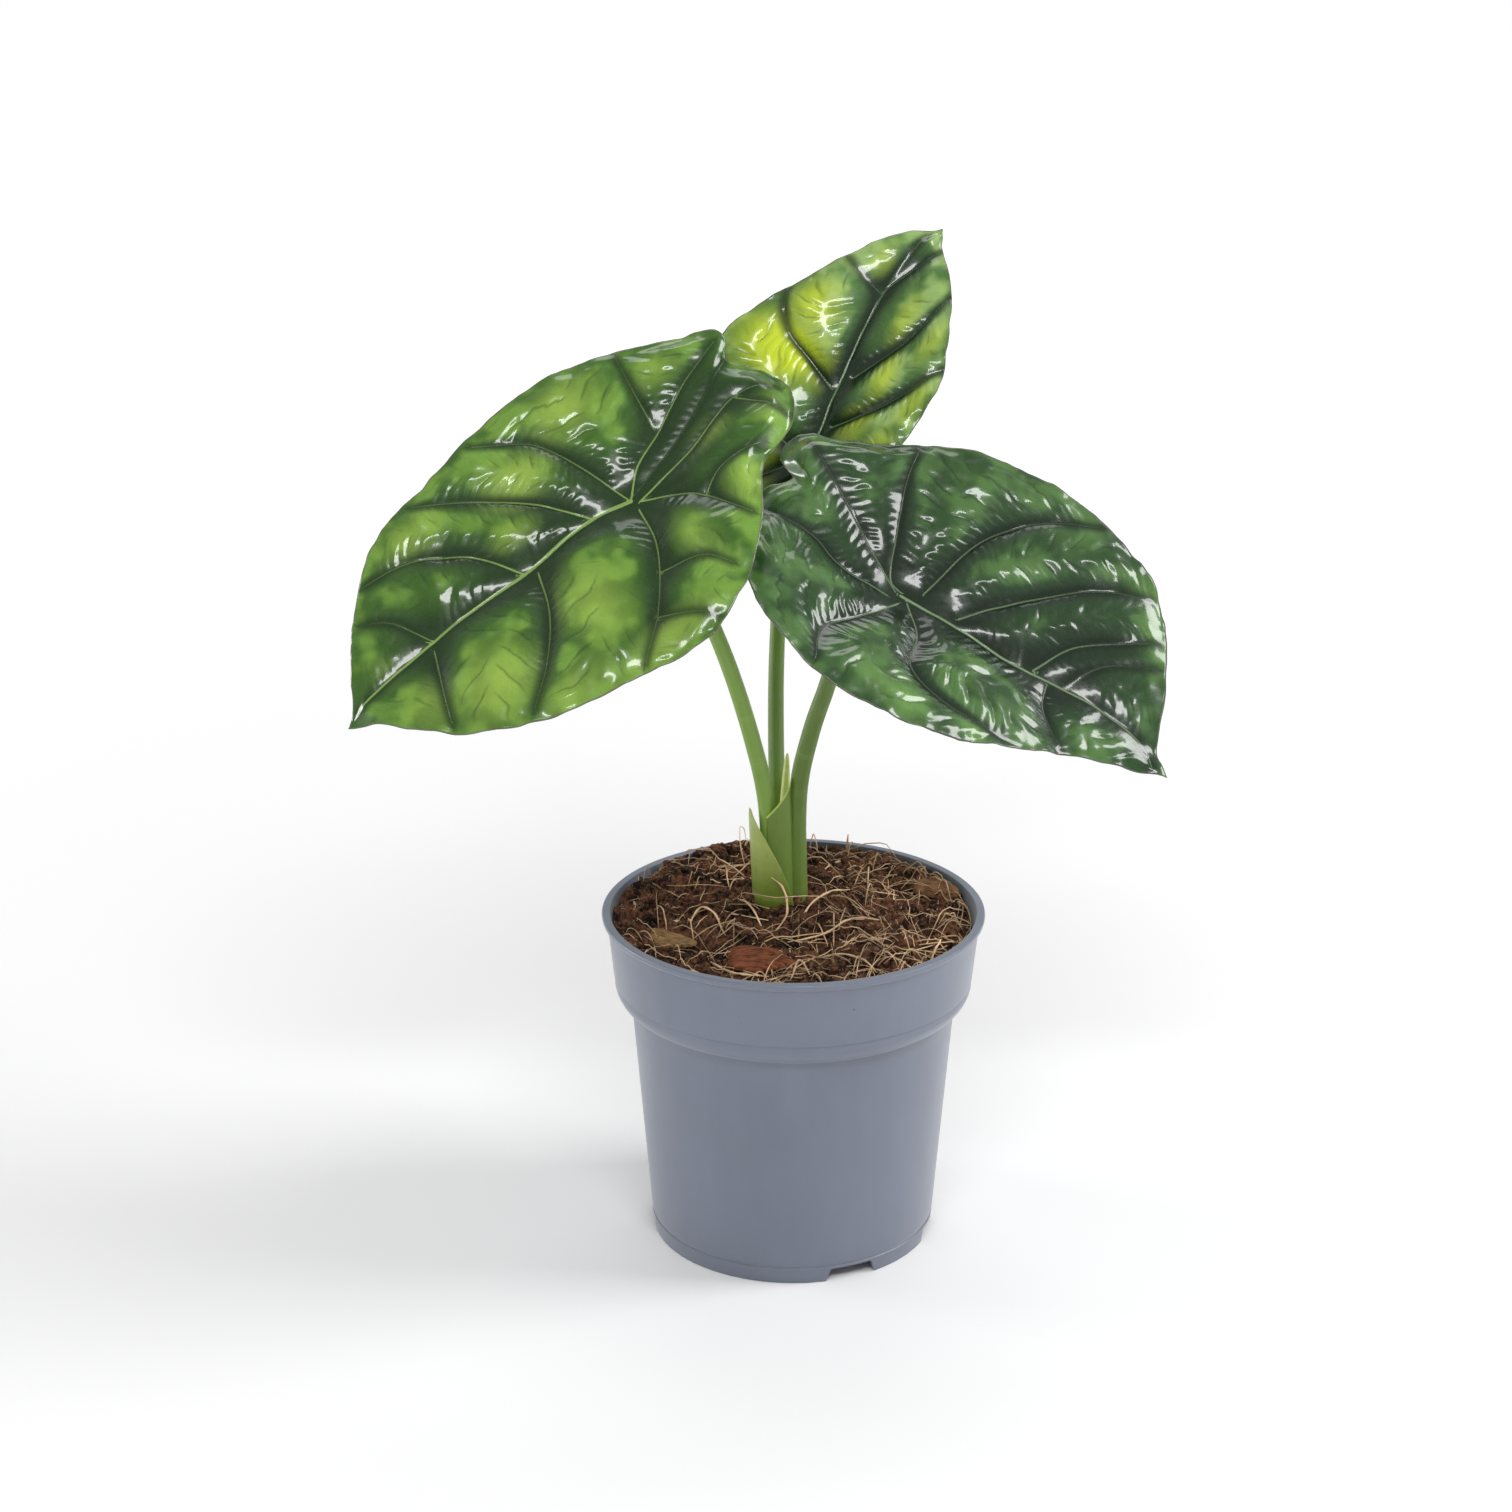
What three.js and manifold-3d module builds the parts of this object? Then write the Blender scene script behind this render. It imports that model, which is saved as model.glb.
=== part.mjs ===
// Potted alocasia: a moulded nursery pot, its growing mix and a young plant with three shield
// leaves. Millimetres, +Z up. The origin is on the pot's axis, at the foot pad's flat underside.
import * as THREE from 'three';
import Module from 'manifold-3d';
import { mergeVertices } from 'three/addons/utils/BufferGeometryUtils.js';

const manifold = await Module();
manifold.setup();

// ---- Driving dimensions ----
const POT_HEIGHT = 108;
const RIM_RADIUS = 60;            // outside of the rolled lip
const BASE_RADIUS = 44.7;         // outside of the foot
const WALL = 1.3;
const BAND_HEIGHT = 22;           // upright band under the lip
const BAND_DRAFT = 2.3;           // how much narrower the band is at its lower edge
const SHOULDER_STEP = 5.2;        // how far the wall steps in under the band
const SHOULDER_HEIGHT = 7;
const LIP_WIDTH = 1.4;
const LIP_HEIGHT = 2.6;
const FLOOR_LIFT = 5;             // the floor stands this far above the foot's edge
const FOOT_PAD_RADIUS = 11;
const DRAIN_HOLES = 8;
const DRAIN_HOLE_RADIUS = 3.5;
const DRAIN_CIRCLE_RADIUS = 28;
const NOTCH_ANGLES = [24, 77, 130, 201, 273];  // degrees, measured from the front towards +X
const NOTCH_WIDTH = 17;
const NOTCH_HEIGHT = 4.4;
const NOTCH_SLANT = 1.8;          // the notch is this much narrower at each top corner

const FIT = 0.3;                  // gap left between pieces that touch
const HEADSPACE = 5.5;            // from the lip's top down to the level that the mix is heaped on
const MOUND = 4.5;                // rise of the mix around the stem
const MOUND_SPREAD = 24;
const RUFFLE = 0.9;               // unevenness of the mix's surface
const BACK_RISE = 0.045;          // the mix lies this much higher for each millimetre towards the back

const STEM_X = -3.4;              // middle of the stem
const STEM_Y = 11;
const CORM_RADIUS = 11.5;
const CORM_HEIGHT = 24;
const CORM_DEPTH = 3;             // the corm's top is this far under the mix
const BLADE_THICKNESS = 1.2;
const APPROACH = 12;              // last stretch of a stalk, square to its blade
const SHEATH_THICKNESS = 1.1;
const SHEATH_RADIUS = 9.5;
const SHEATH_HEIGHT = 33;
const SHEATH_LEAN = 2;            // how far its point leans out over the left stalk's foot
const FIBRE_RADIUS = 0.55;

// ---- Posture: places are measured from the stem's middle, and heights up from the mix's level ----
// What the sheath wraps, a stalk's foot and neck and the new shoot, is in shares of its inside radius.
const PETIOLES = {
  left: {
    foot: [-0.405, -0.429], topRadius: 2.3, footRadius: 0.345, neck: [-0.619, -0.571, 39],
    route: [[-9.4, -7.6, 60], [-17.1, -11.8, 87], [-24.6, -14, 106], [-35.6, -15, 126]],
    colour: 0x6f9a3a,
  },
  back: {
    foot: [-0.024, 0.738], topRadius: 2.3, footRadius: 0.333, neck: [-0.238, 1.071, 54],
    route: [[-1.6, 16, 86], [0.9, 30, 115]],
    colour: 0x5d8238,
  },
  right: {
    foot: [0.571, -0.071], topRadius: 2.4, footRadius: 0.393, neck: [0.595, -0.286, 42],
    route: [[8.3, -5, 60], [12.3, -7.5, 74], [18.4, -9, 90]],
    colour: 0x4f7a35,
  },
};
const SHOOT = { foot: [-0.012, 0.143], tip: [0.179, 0.381], radius: 0.179, height: 52 };

// A blade's outline is listed from its tip, once round the back of the petiole and home again, as
// [towards the tip, across] from the petiole. fold lifts both halves from the midrib, arch bends
// them down again, droop bends the tip down.
const BLADES = {
  left: {
    at: [-45.6, -27, 143.2], tipward: [-0.77, -0.38, -0.51], face: [-0.13, -0.68, 0.71],
    fold: 0.14, arch: 0.0014, droop: 0.0010, colour: 0x4c8526,
    outline: [[103, -3], [86, -26], [64, -42], [40, -46], [10, -49.5], [-14, -46.5], [-38, -37],
      [-52, -30], [-55.5, -24.5], [-51, -18], [-58, -9], [-60, 1], [-53, 10], [-39, 16], [-22, 36],
      [-4, 49], [15, 54], [40, 48.5], [62, 41], [82, 27]],
  },
  right: {
    at: [35.7, -21, 112.4], tipward: [0.80, -0.33, -0.50], face: [0.25, -0.60, 0.75],
    fold: 0.30, arch: 0.0014, droop: 0.0010, colour: 0x2f5a2c,
    outline: [[91.5, 6], [87, 1.5], [72, -9], [54, -26], [36, -40], [10, -48.5], [-14, -46],
      [-34, -36.5], [-48, -15], [-53.5, 2], [-49, 12], [-56.5, 17], [-57, 25], [-46, 32],
      [-30, 41], [-10, 52], [18, 59], [42, 57.5], [62, 50.5], [78, 31]],
  },
  back: {
    at: [6.3, 29, 140.2], tipward: [0.50, 0.35, 0.77], face: [-0.28, -0.78, 0.56],
    fold: 0.30, arch: 0.0014, droop: 0.0010, colour: 0x5f9433,
    outline: [[84, 4], [77, -5], [66, -15], [52, -23], [36, -29], [18, -28.5], [-2, -28],
      [-21, -26], [-36, -19], [-42, -8], [-34, 4], [-44, 13], [-44, 24], [-33, 36], [-14, 43],
      [5, 45], [27, 41], [49, 31], [68, 20], [81, 11]],
  },
};

// Places on the mix are [direction seen from the stem in degrees, share of the way from the sheath
// to the pot's wall], and a fibre's points have their height above the mix as well.
const FIBRES = [
  [[-130, 0.68, 1], [-119.5, 0.7, 2], [-107.5, 0.79, 3.4], [-99, 0.912, 6.9],
    [-93.9, 1.015, 9.4]],
  [[-148.7, 0.52, 1], [-158.7, 0.388, 3.2], [-145.2, 0.342, 4], [-126.3, 0.384, 1.2]],
  [[176.3, 0.148, 1], [-139.7, 0.088, 3.4], [-106.2, 0.221, 1.2]],
  [[-96.2, 0.256, 1.2], [-85.3, 0.131, 4], [-90, 0.036, 9], [-107.5, 0.044, 13]],
  [[-77.6, 0.189, 1.2], [-55, 0.089, 3], [-11, 0.121, 4.6], [12.6, 0.29, 2]],
  [[-89.2, 0.338, 1.2], [-67.1, 0.341, 3.4], [-43.1, 0.351, 5], [-20.3, 0.473, 1.6]],
  [[-73.9, 0.481, 1], [-65.4, 0.556, 2.4], [-59.2, 0.661, 2.2], [-58.3, 0.771, 1]],
  [[-43.4, 0.914, 1], [-34.8, 0.872, 3.6], [-25.9, 0.842, 1.4]],
  [[60.6, 0.413, 0.9], [56.7, 0.621, 3.4], [53.2, 0.841, 1]],
  [[171.6, 0.947, 1], [-173.9, 0.862, 4], [-159.1, 0.827, 1.4]],
  [[-156.3, 0.86, 1], [-150, 0.884, 3.4], [-141.6, 0.875, 1.2]],
  [[-80.8, 0.743, 1], [-84.2, 0.669, 5], [-88, 0.763, 1.4]],
];
const HUSK_CHIPS = {
  front: { place: [-100.3, 0.636], size: [21, 14, 3.2], turn: -12, lean: 7, colour: 0x8a4f35 },
  left: { place: [-141, 0.805], size: [17, 9, 2.2], turn: -35, lean: 5, colour: 0x8e7048 },
  right: { place: [10.5, 1.012], size: [15, 9, 4], turn: -20, lean: 6, colour: 0x7a5a40 },
};
const GRAINS = [{ place: [-155.6, 0.576], radius: 1.3 }, { place: [24.9, 0.997], radius: 1.1 }];

// ---- Sizes that follow from those above ----
const STEM = new THREE.Vector2(STEM_X, STEM_Y);
const SHEATH_ROOM = SHEATH_RADIUS - SHEATH_THICKNESS;
const MIX_LEVEL = POT_HEIGHT - HEADSPACE;
const BAND_FOOT = POT_HEIGHT - BAND_HEIGHT;
const SHOULDER_FOOT = BAND_FOOT - SHOULDER_HEIGHT;
const BAND_TOP_RADIUS = RIM_RADIUS - LIP_WIDTH;
const BAND_FOOT_RADIUS = BAND_TOP_RADIUS - BAND_DRAFT;
const WALL_TOP_RADIUS = BAND_FOOT_RADIUS - SHOULDER_STEP;
const POT_SIDES = 60;
const BLADE_SPOKES = 52;
const BLADE_RINGS = 5;

function material(color, roughness) {
  return new THREE.MeshStandardMaterial({ color, roughness, metalness: 0 });
}

function part(name, geometry, color, roughness = 0.6) {
  const mesh = new THREE.Mesh(geometry, material(color, roughness));
  mesh.name = name;
  return mesh;
}

function indexedGeometry(vertices, triangles) {
  const geometry = new THREE.BufferGeometry();
  geometry.setAttribute('position', new THREE.Float32BufferAttribute(vertices.flat(), 3));
  geometry.setIndex(triangles.flat());
  geometry.computeVertexNormals();
  return geometry;
}

// Loops of points, each of the same count, become a closed skin between two end points.
// The loops run anticlockwise as seen from the last one.
function loftedSolid(firstPoint, loops, lastPoint) {
  const count = loops[0].length;
  const vertices = [firstPoint, ...loops.flat(), lastPoint];
  const at = (loop, i) => 1 + loop * count + (i % count);
  const last = vertices.length - 1;
  const triangles = [];
  for (let i = 0; i < count; i += 1) {
    triangles.push([0, at(0, i + 1), at(0, i)]);
    for (let loop = 0; loop + 1 < loops.length; loop += 1) {
      triangles.push([at(loop, i), at(loop, i + 1), at(loop + 1, i + 1)]);
      triangles.push([at(loop, i), at(loop + 1, i + 1), at(loop + 1, i)]);
    }
    triangles.push([at(loops.length - 1, i), at(loops.length - 1, i + 1), last]);
  }
  return indexedGeometry(vertices, triangles);
}

function toSolid(geometry) {
  const bare = geometry.clone();
  bare.deleteAttribute('normal');
  bare.deleteAttribute('uv');
  const merged = mergeVertices(bare, 1e-4);
  return new manifold.Manifold(new manifold.Mesh({
    numProp: 3,
    vertProperties: new Float32Array(merged.attributes.position.array),
    triVerts: new Uint32Array(merged.index.array),
  }));
}

function toGeometry(solid) {
  const mesh = solid.getMesh();
  const geometry = new THREE.BufferGeometry();
  geometry.setAttribute('position', new THREE.BufferAttribute(mesh.vertProperties, 3));
  geometry.setIndex(new THREE.BufferAttribute(mesh.triVerts, 1));
  geometry.computeVertexNormals();
  return geometry;
}

// A lathe turned about +Z from [radius, height] points.
function turned(points, sides = POT_SIDES) {
  const profile = points.map(([radius, height]) => new THREE.Vector2(radius, height));
  return new THREE.LatheGeometry(profile, sides).rotateX(Math.PI / 2);
}

// ---- Pot ----
// Radius of the tapered wall's outside at a height, up to the shoulder.
function wallRadius(height) {
  return BASE_RADIUS + (WALL_TOP_RADIUS - BASE_RADIUS) * height / SHOULDER_FOOT;
}

function shoulderCurve(inset, lift) {
  const points = [];
  for (const turn of [0.2, 0.45, 0.7, 1]) {
    const angle = turn * Math.PI / 2;
    points.push([WALL_TOP_RADIUS - inset + SHOULDER_STEP * Math.sin(angle),
      SHOULDER_FOOT + lift + SHOULDER_HEIGHT * (1 - Math.cos(angle))]);
  }
  return points;
}

function bandInnerRadius(height) {
  const share = (height - BAND_FOOT) / BAND_HEIGHT;
  return BAND_FOOT_RADIUS + BAND_DRAFT * share - WALL;
}

// Inside of the pot from the floor's edge up to the band's foot, moved inwards by a gap.
function innerWall(gap) {
  const floorTop = FLOOR_LIFT + WALL;
  return [
    [wallRadius(floorTop) - WALL - gap, floorTop + gap],
    [WALL_TOP_RADIUS - WALL - gap, SHOULDER_FOOT + WALL],
    ...shoulderCurve(WALL + gap, WALL),
  ];
}

function makePot() {
  const lipFoot = POT_HEIGHT - LIP_HEIGHT;
  const lipRound = LIP_WIDTH / 2;
  const profile = [
    [0, 0], [FOOT_PAD_RADIUS - 1, 0], [FOOT_PAD_RADIUS, FLOOR_LIFT],
    [wallRadius(FLOOR_LIFT) - WALL - 1, FLOOR_LIFT], [BASE_RADIUS - WALL, 0.4], [BASE_RADIUS - WALL, 0],
    [BASE_RADIUS - 0.3, 0], [BASE_RADIUS, 0.4], [WALL_TOP_RADIUS, SHOULDER_FOOT],
    ...shoulderCurve(0, 0),
    [BAND_TOP_RADIUS, lipFoot], [RIM_RADIUS - 0.2, lipFoot + 0.5], [RIM_RADIUS, lipFoot + 1],
    [RIM_RADIUS, POT_HEIGHT - lipRound], [RIM_RADIUS - 0.3, POT_HEIGHT - 0.2],
    [RIM_RADIUS - lipRound, POT_HEIGHT], [bandInnerRadius(POT_HEIGHT), POT_HEIGHT],
    ...innerWall(0).reverse(), [0, FLOOR_LIFT + WALL],
  ];
  let pot = toSolid(turned(profile));
  for (const angle of NOTCH_ANGLES) {
    pot = pot.subtract(toSolid(notchCutter(angle)));
  }
  for (let i = 0; i < DRAIN_HOLES; i += 1) {
    pot = pot.subtract(toSolid(drainCutter(i * 2 * Math.PI / DRAIN_HOLES)));
  }
  return toGeometry(pot);
}

// A trapezium that opens the foot's edge from outside.
function notchCutter(angle) {
  const half = NOTCH_WIDTH / 2;
  const shape = new THREE.Shape([
    new THREE.Vector2(-half, -1), new THREE.Vector2(half, -1),
    new THREE.Vector2(half - NOTCH_SLANT, NOTCH_HEIGHT), new THREE.Vector2(NOTCH_SLANT - half, NOTCH_HEIGHT),
  ]);
  const depth = 12;
  const cutter = new THREE.ExtrudeGeometry(shape, { depth, bevelEnabled: false });
  cutter.rotateX(Math.PI / 2);
  cutter.translate(0, -(BASE_RADIUS - depth / 2), 0);
  return cutter.rotateZ(THREE.MathUtils.degToRad(angle));
}

function drainCutter(angle) {
  const cutter = new THREE.CylinderGeometry(DRAIN_HOLE_RADIUS, DRAIN_HOLE_RADIUS, 4 * WALL, 16);
  cutter.rotateX(Math.PI / 2);
  cutter.translate(DRAIN_CIRCLE_RADIUS, 0, FLOOR_LIFT + WALL / 2);
  return cutter.rotateZ(angle);
}

// ---- Growing mix ----
const MIX_RADIUS = bandInnerRadius(MIX_LEVEL) - FIT - RUFFLE / 4;

function mixHeight(x, y) {
  const fromStem = Math.hypot(x - STEM.x, y - STEM.y) / MOUND_SPREAD;
  const ruffle = RUFFLE * Math.sin(x / 5.5 + 0.6) * Math.cos(y / 6.5);
  return MIX_LEVEL + BACK_RISE * y + MOUND * Math.exp(-fromStem * fromStem) + ruffle;
}

// Where the corm sits: its widest place, its top and its lowest point.
const CORM_TOP = MIX_LEVEL + MOUND - CORM_DEPTH;
const CORM_FOOT = CORM_TOP - CORM_HEIGHT;

function cormProfile(gap) {
  const points = [];
  for (const turn of [-1, -0.75, -0.5, -0.25, 0, 0.3, 0.6]) {
    const angle = turn * Math.PI / 2;
    points.push([(CORM_RADIUS + gap) * Math.cos(angle),
      CORM_FOOT + CORM_HEIGHT / 2 + (CORM_HEIGHT / 2 + gap) * Math.sin(angle)]);
  }
  points[0][0] = 0;
  return points;
}

function makeMix() {
  const sides = POT_SIDES;
  const ring = (radius, height) => Array.from({ length: sides }, (_, i) => {
    const angle = i * 2 * Math.PI / sides;
    const x = radius * Math.cos(angle);
    const y = radius * Math.sin(angle);
    return [x, y, height ?? mixHeight(x, y)];
  });
  const wall = innerWall(FIT);
  const loops = wall.map(([radius, height]) => ring(radius, height));
  for (const share of [1, 0.86, 0.7, 0.54, 0.38, 0.2]) {
    loops.push(ring(MIX_RADIUS * share));
  }
  const mix = toSolid(loftedSolid([0, 0, wall[0][1]], loops, [0, 0, mixHeight(0, 0)]));
  const pocketTop = MIX_LEVEL + 3 * MOUND;
  const widest = cormProfile(FIT).findIndex(([, height]) => height >= CORM_FOOT + CORM_HEIGHT / 2);
  const pocketRadius = Math.max(CORM_RADIUS, SHEATH_RADIUS) + FIT;
  const pocket = [...cormProfile(FIT).slice(0, widest + 1), [pocketRadius, CORM_TOP],
    [pocketRadius, pocketTop], [0, pocketTop]];
  return toGeometry(mix.subtract(toSolid(turned(pocket, 20).translate(STEM.x, STEM.y, 0))));
}

function makeCorm() {
  const profile = cormProfile(0).filter(([, height]) => height < CORM_TOP - 1);
  profile.push([CORM_RADIUS * 0.72, CORM_TOP], [0, CORM_TOP]);
  return turned(profile, 20).translate(STEM.x, STEM.y, 0);
}

// ---- Stalks ----
// A round stem along a curve, with its radius given at each share of the way.
function stemAlong(curve, radiusAt, steps, sides) {
  const frames = curve.computeFrenetFrames(steps, false);
  const loops = [];
  for (let step = 0; step <= steps; step += 1) {
    const share = step / steps;
    const centre = curve.getPointAt(share);
    const radius = radiusAt(share);
    loops.push(Array.from({ length: sides }, (_, i) => {
      const angle = i * 2 * Math.PI / sides;
      return centre.clone()
        .addScaledVector(frames.normals[step], radius * Math.cos(angle))
        .addScaledVector(frames.binormals[step], radius * Math.sin(angle)).toArray();
    }));
  }
  return loftedSolid(curve.getPointAt(0).toArray(), loops, curve.getPointAt(1).toArray());
}

function fromStem([x, y, rise]) {
  return new THREE.Vector3(STEM.x + x, STEM.y + y, MIX_LEVEL + rise);
}

function inSheath(x, y, height) {
  return new THREE.Vector3(STEM.x + x * SHEATH_ROOM, STEM.y + y * SHEATH_ROOM, height);
}

function bladeFrame(blade) {
  const tipward = new THREE.Vector3(...blade.tipward).normalize();
  const face = new THREE.Vector3(...blade.face);
  face.addScaledVector(tipward, -face.dot(tipward)).normalize();
  const across = new THREE.Vector3().crossVectors(face, tipward);
  return { origin: fromStem(blade.at), tipward, across, face };
}

function petioleCurve(petiole, blade) {
  const frame = bladeFrame(blade);
  const under = (depth) => frame.origin.clone().addScaledVector(frame.face, -BLADE_THICKNESS - depth);
  const [x, y] = petiole.foot;
  const [neckX, neckY, neckRise] = petiole.neck;
  const points = [inSheath(x, y, CORM_TOP + FIT), inSheath(neckX, neckY, MIX_LEVEL + neckRise)];
  points.push(...petiole.route.map(fromStem), under(APPROACH), under(APPROACH / 2), under(FIT));
  return new THREE.CatmullRomCurve3(points, false, 'centripetal');
}

function makePetiole(side) {
  const { topRadius, footRadius } = PETIOLES[side];
  const radiusAt = (share) => THREE.MathUtils.lerp(footRadius * SHEATH_ROOM, topRadius, share);
  return stemAlong(petioleCurve(PETIOLES[side], BLADES[side]), radiusAt, 22, 8);
}

// ---- Blades ----
function bladeHeight(blade, along, across) {
  const crease = 8;
  const fold = blade.fold * (Math.hypot(across, crease) - crease);
  const droop = blade.droop * Math.max(0, along) ** 2;
  return fold - blade.arch * across * across - droop;
}

// The blade is a fan of spokes from the petiole, as two skins a leaf's thickness apart.
function makeBlade(side) {
  const blade = BLADES[side];
  const frame = bladeFrame(blade);
  const outline = new THREE.CatmullRomCurve3(
    [...blade.outline, blade.outline[0]].map(([along, across]) => new THREE.Vector3(along, across, 0)),
    false, 'centripetal');
  const margin = outline.getSpacedPoints(BLADE_SPOKES).slice(0, BLADE_SPOKES).reverse();
  const place = (along, across, depth) => frame.origin.clone()
    .addScaledVector(frame.tipward, along)
    .addScaledVector(frame.across, across)
    .addScaledVector(frame.face, bladeHeight(blade, along, across) - depth).toArray();
  const ring = (share, depth) => margin.map((point) => place(point.x * share, point.y * share, depth));
  const shares = Array.from({ length: BLADE_RINGS }, (_, i) => (i + 1) / BLADE_RINGS);
  const under = shares.map((share) => ring(share, BLADE_THICKNESS));
  const upper = shares.map((share) => ring(share, 0)).reverse();
  return loftedSolid(place(0, 0, BLADE_THICKNESS), [...under, ...upper], place(0, 0, 0));
}

// ---- Sheath and new shoot ----
// The sheath is a curled leaf base, wrapped round the front and left of the stem: it is widest at
// the mix and runs up to a point on the left.
function makeSheath() {
  const foot = MIX_LEVEL + MOUND - 1;
  const middleAngle = THREE.MathUtils.degToRad(212);
  const rows = 12;
  const columns = 10;
  const loops = [];
  for (let row = 0; row <= rows; row += 1) {
    const share = row / rows;
    const radius = SHEATH_RADIUS + 0.3 * share;
    const lean = SHEATH_LEAN * share;
    const halfSpan = THREE.MathUtils.degToRad(78 * (1 - share ** 1.5) + 5);
    const angle = middleAngle - THREE.MathUtils.degToRad(10) * share;
    const edge = (r, turn) => [STEM.x - 0.6 * lean + r * Math.cos(angle + turn),
      STEM.y - 0.8 * lean + r * Math.sin(angle + turn), foot + SHEATH_HEIGHT * share];
    const turns = Array.from({ length: columns + 1 }, (_, i) => halfSpan * (2 * i / columns - 1));
    const outer = turns.map((turn) => edge(radius, turn));
    const inner = turns.map((turn) => edge(radius - SHEATH_THICKNESS, turn)).reverse();
    loops.push([...outer, ...inner]);
  }
  return stackedBand(loops);
}

// Closed skin through stacked loops whose two ends are flat strips between outside and inside.
function stackedBand(loops) {
  const count = loops[0].length;
  const triangles = [];
  const at = (loop, i) => loop * count + (i % count);
  const last = loops.length - 1;
  for (let loop = 0; loop < last; loop += 1) {
    for (let i = 0; i < count; i += 1) {
      triangles.push([at(loop, i), at(loop, i + 1), at(loop + 1, i + 1)]);
      triangles.push([at(loop, i), at(loop + 1, i + 1), at(loop + 1, i)]);
    }
  }
  for (let i = 0; i + 1 < count / 2; i += 1) {
    const facing = count - 1 - i;
    triangles.push([at(0, i), at(0, facing), at(0, facing - 1)]);
    triangles.push([at(0, i), at(0, facing - 1), at(0, i + 1)]);
    triangles.push([at(last, i), at(last, i + 1), at(last, facing - 1)]);
    triangles.push([at(last, i), at(last, facing - 1), at(last, facing)]);
  }
  return indexedGeometry(loops.flat(), triangles);
}

// The rolled new leaf, a slender spike between the back and right stalks.
function makeShoot() {
  const foot = inSheath(...SHOOT.foot, CORM_TOP + FIT);
  const tip = inSheath(...SHOOT.tip, MIX_LEVEL + SHOOT.height);
  const middle = foot.clone().lerp(tip, 0.5).add(new THREE.Vector3(-0.3, 0, 0));
  const curve = new THREE.CatmullRomCurve3([foot, middle, tip]);
  const radius = SHOOT.radius * SHEATH_ROOM;
  return stemAlong(curve, (share) => radius * (0.23 + 0.77 * Math.sqrt(1 - share)), 10, 8);
}

// ---- Fibres, chips and grains on the mix ----
// A piece with a reach of its own touches the sheath at share 0 and the wall at share 1.
function placeOnMix([direction, share], reach = 0) {
  const angle = THREE.MathUtils.degToRad(direction);
  const outward = new THREE.Vector2(Math.cos(angle), Math.sin(angle));
  const along = STEM.dot(outward);
  const toWall = Math.sqrt(MIX_RADIUS ** 2 - STEM.lengthSq() + along ** 2) - along;
  const distance = THREE.MathUtils.lerp(SHEATH_RADIUS + reach, toWall - reach, share);
  return outward.multiplyScalar(distance).add(STEM);
}

function makeFibre(points) {
  const route = points.map(([direction, share, lift]) => {
    const { x, y } = placeOnMix([direction, share]);
    return new THREE.Vector3(x, y, mixHeight(x, y) + lift);
  });
  const curve = new THREE.CatmullRomCurve3(route, false, 'centripetal');
  const steps = 3 * (points.length - 1) + 2;
  return stemAlong(curve, (share) => FIBRE_RADIUS * (1 - 0.45 * Math.abs(2 * share - 1) ** 3), steps, 6);
}

function makeChip({ place, size, turn, lean }) {
  const [length, width, thickness] = size;
  const { x, y } = placeOnMix(place, length / 2);
  const sides = 14;
  const loops = [[0.62, -0.5], [1, -0.15], [0.96, 0.2], [0.6, 0.5]].map(([spread, level]) => (
    Array.from({ length: sides }, (_, i) => {
      const angle = i * 2 * Math.PI / sides;
      const ragged = 1 + 0.10 * Math.sin(3 * angle + 0.8) + 0.05 * Math.cos(5 * angle);
      return [spread * ragged * length / 2 * Math.cos(angle), spread * ragged * width / 2 * Math.sin(angle),
        level * thickness];
    })));
  const chip = loftedSolid([0, 0, -thickness / 2], loops, [0, 0, thickness / 2]);
  const leanAngle = THREE.MathUtils.degToRad(lean);
  chip.rotateX(leanAngle).rotateZ(THREE.MathUtils.degToRad(turn)).translate(x, y, 0);
  return chip.translate(0, 0, seatHeight(chip));
}

function makeGrain({ place, radius }) {
  const { x, y } = placeOnMix(place, radius);
  const grain = new THREE.IcosahedronGeometry(radius, 1).scale(1.2, 1, 0.8).translate(x, y, 0);
  return grain.translate(0, 0, seatHeight(grain));
}

// How far a loose piece, drawn at height zero, is lifted so that it just clears the mix.
function seatHeight(geometry) {
  const place = geometry.attributes.position;
  let lift = -Infinity;
  for (let i = 0; i < place.count; i += 1) {
    lift = Math.max(lift, mixHeight(place.getX(i), place.getY(i)) - place.getZ(i));
  }
  return lift + FIT;
}

const plant = new THREE.Group();
for (const side of Object.keys(PETIOLES)) {
  plant.add(part(`petiole_${side}`, makePetiole(side), PETIOLES[side].colour));
  plant.add(part(`blade_${side}`, makeBlade(side), BLADES[side].colour, 0.3));
}
plant.add(part('corm', makeCorm(), 0x6b4a2f, 0.9));
plant.add(part('sheath', makeSheath(), 0xa3b465));
plant.add(part('new_shoot', makeShoot(), 0xc3cf7c));

const surface = new THREE.Group();
for (const [side, chip] of Object.entries(HUSK_CHIPS)) {
  surface.add(part(`husk_chip_${side}`, makeChip(chip), chip.colour, 0.95));
}
FIBRES.forEach((points, i) => {
  surface.add(part(`coir_fibre_${String(i + 1).padStart(2, '0')}`, makeFibre(points), 0xa8825c, 0.9));
});
GRAINS.forEach((grain, i) => surface.add(part(`pale_grain_${i + 1}`, makeGrain(grain), 0xd9cfbd, 0.8)));

const group = new THREE.Group();
group.add(part('pot', makePot(), 0x80879a, 0.55));
group.add(part('growing_mix', makeMix(), 0x3a2a22, 1));
group.add(surface, plant);

export default group;
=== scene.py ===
import math
from itertools import pairwise, product

import bpy
import numpy as np
from bpy.props import FloatProperty, FloatVectorProperty, IntProperty, PointerProperty
from mathutils import Matrix, Vector, noise


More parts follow.
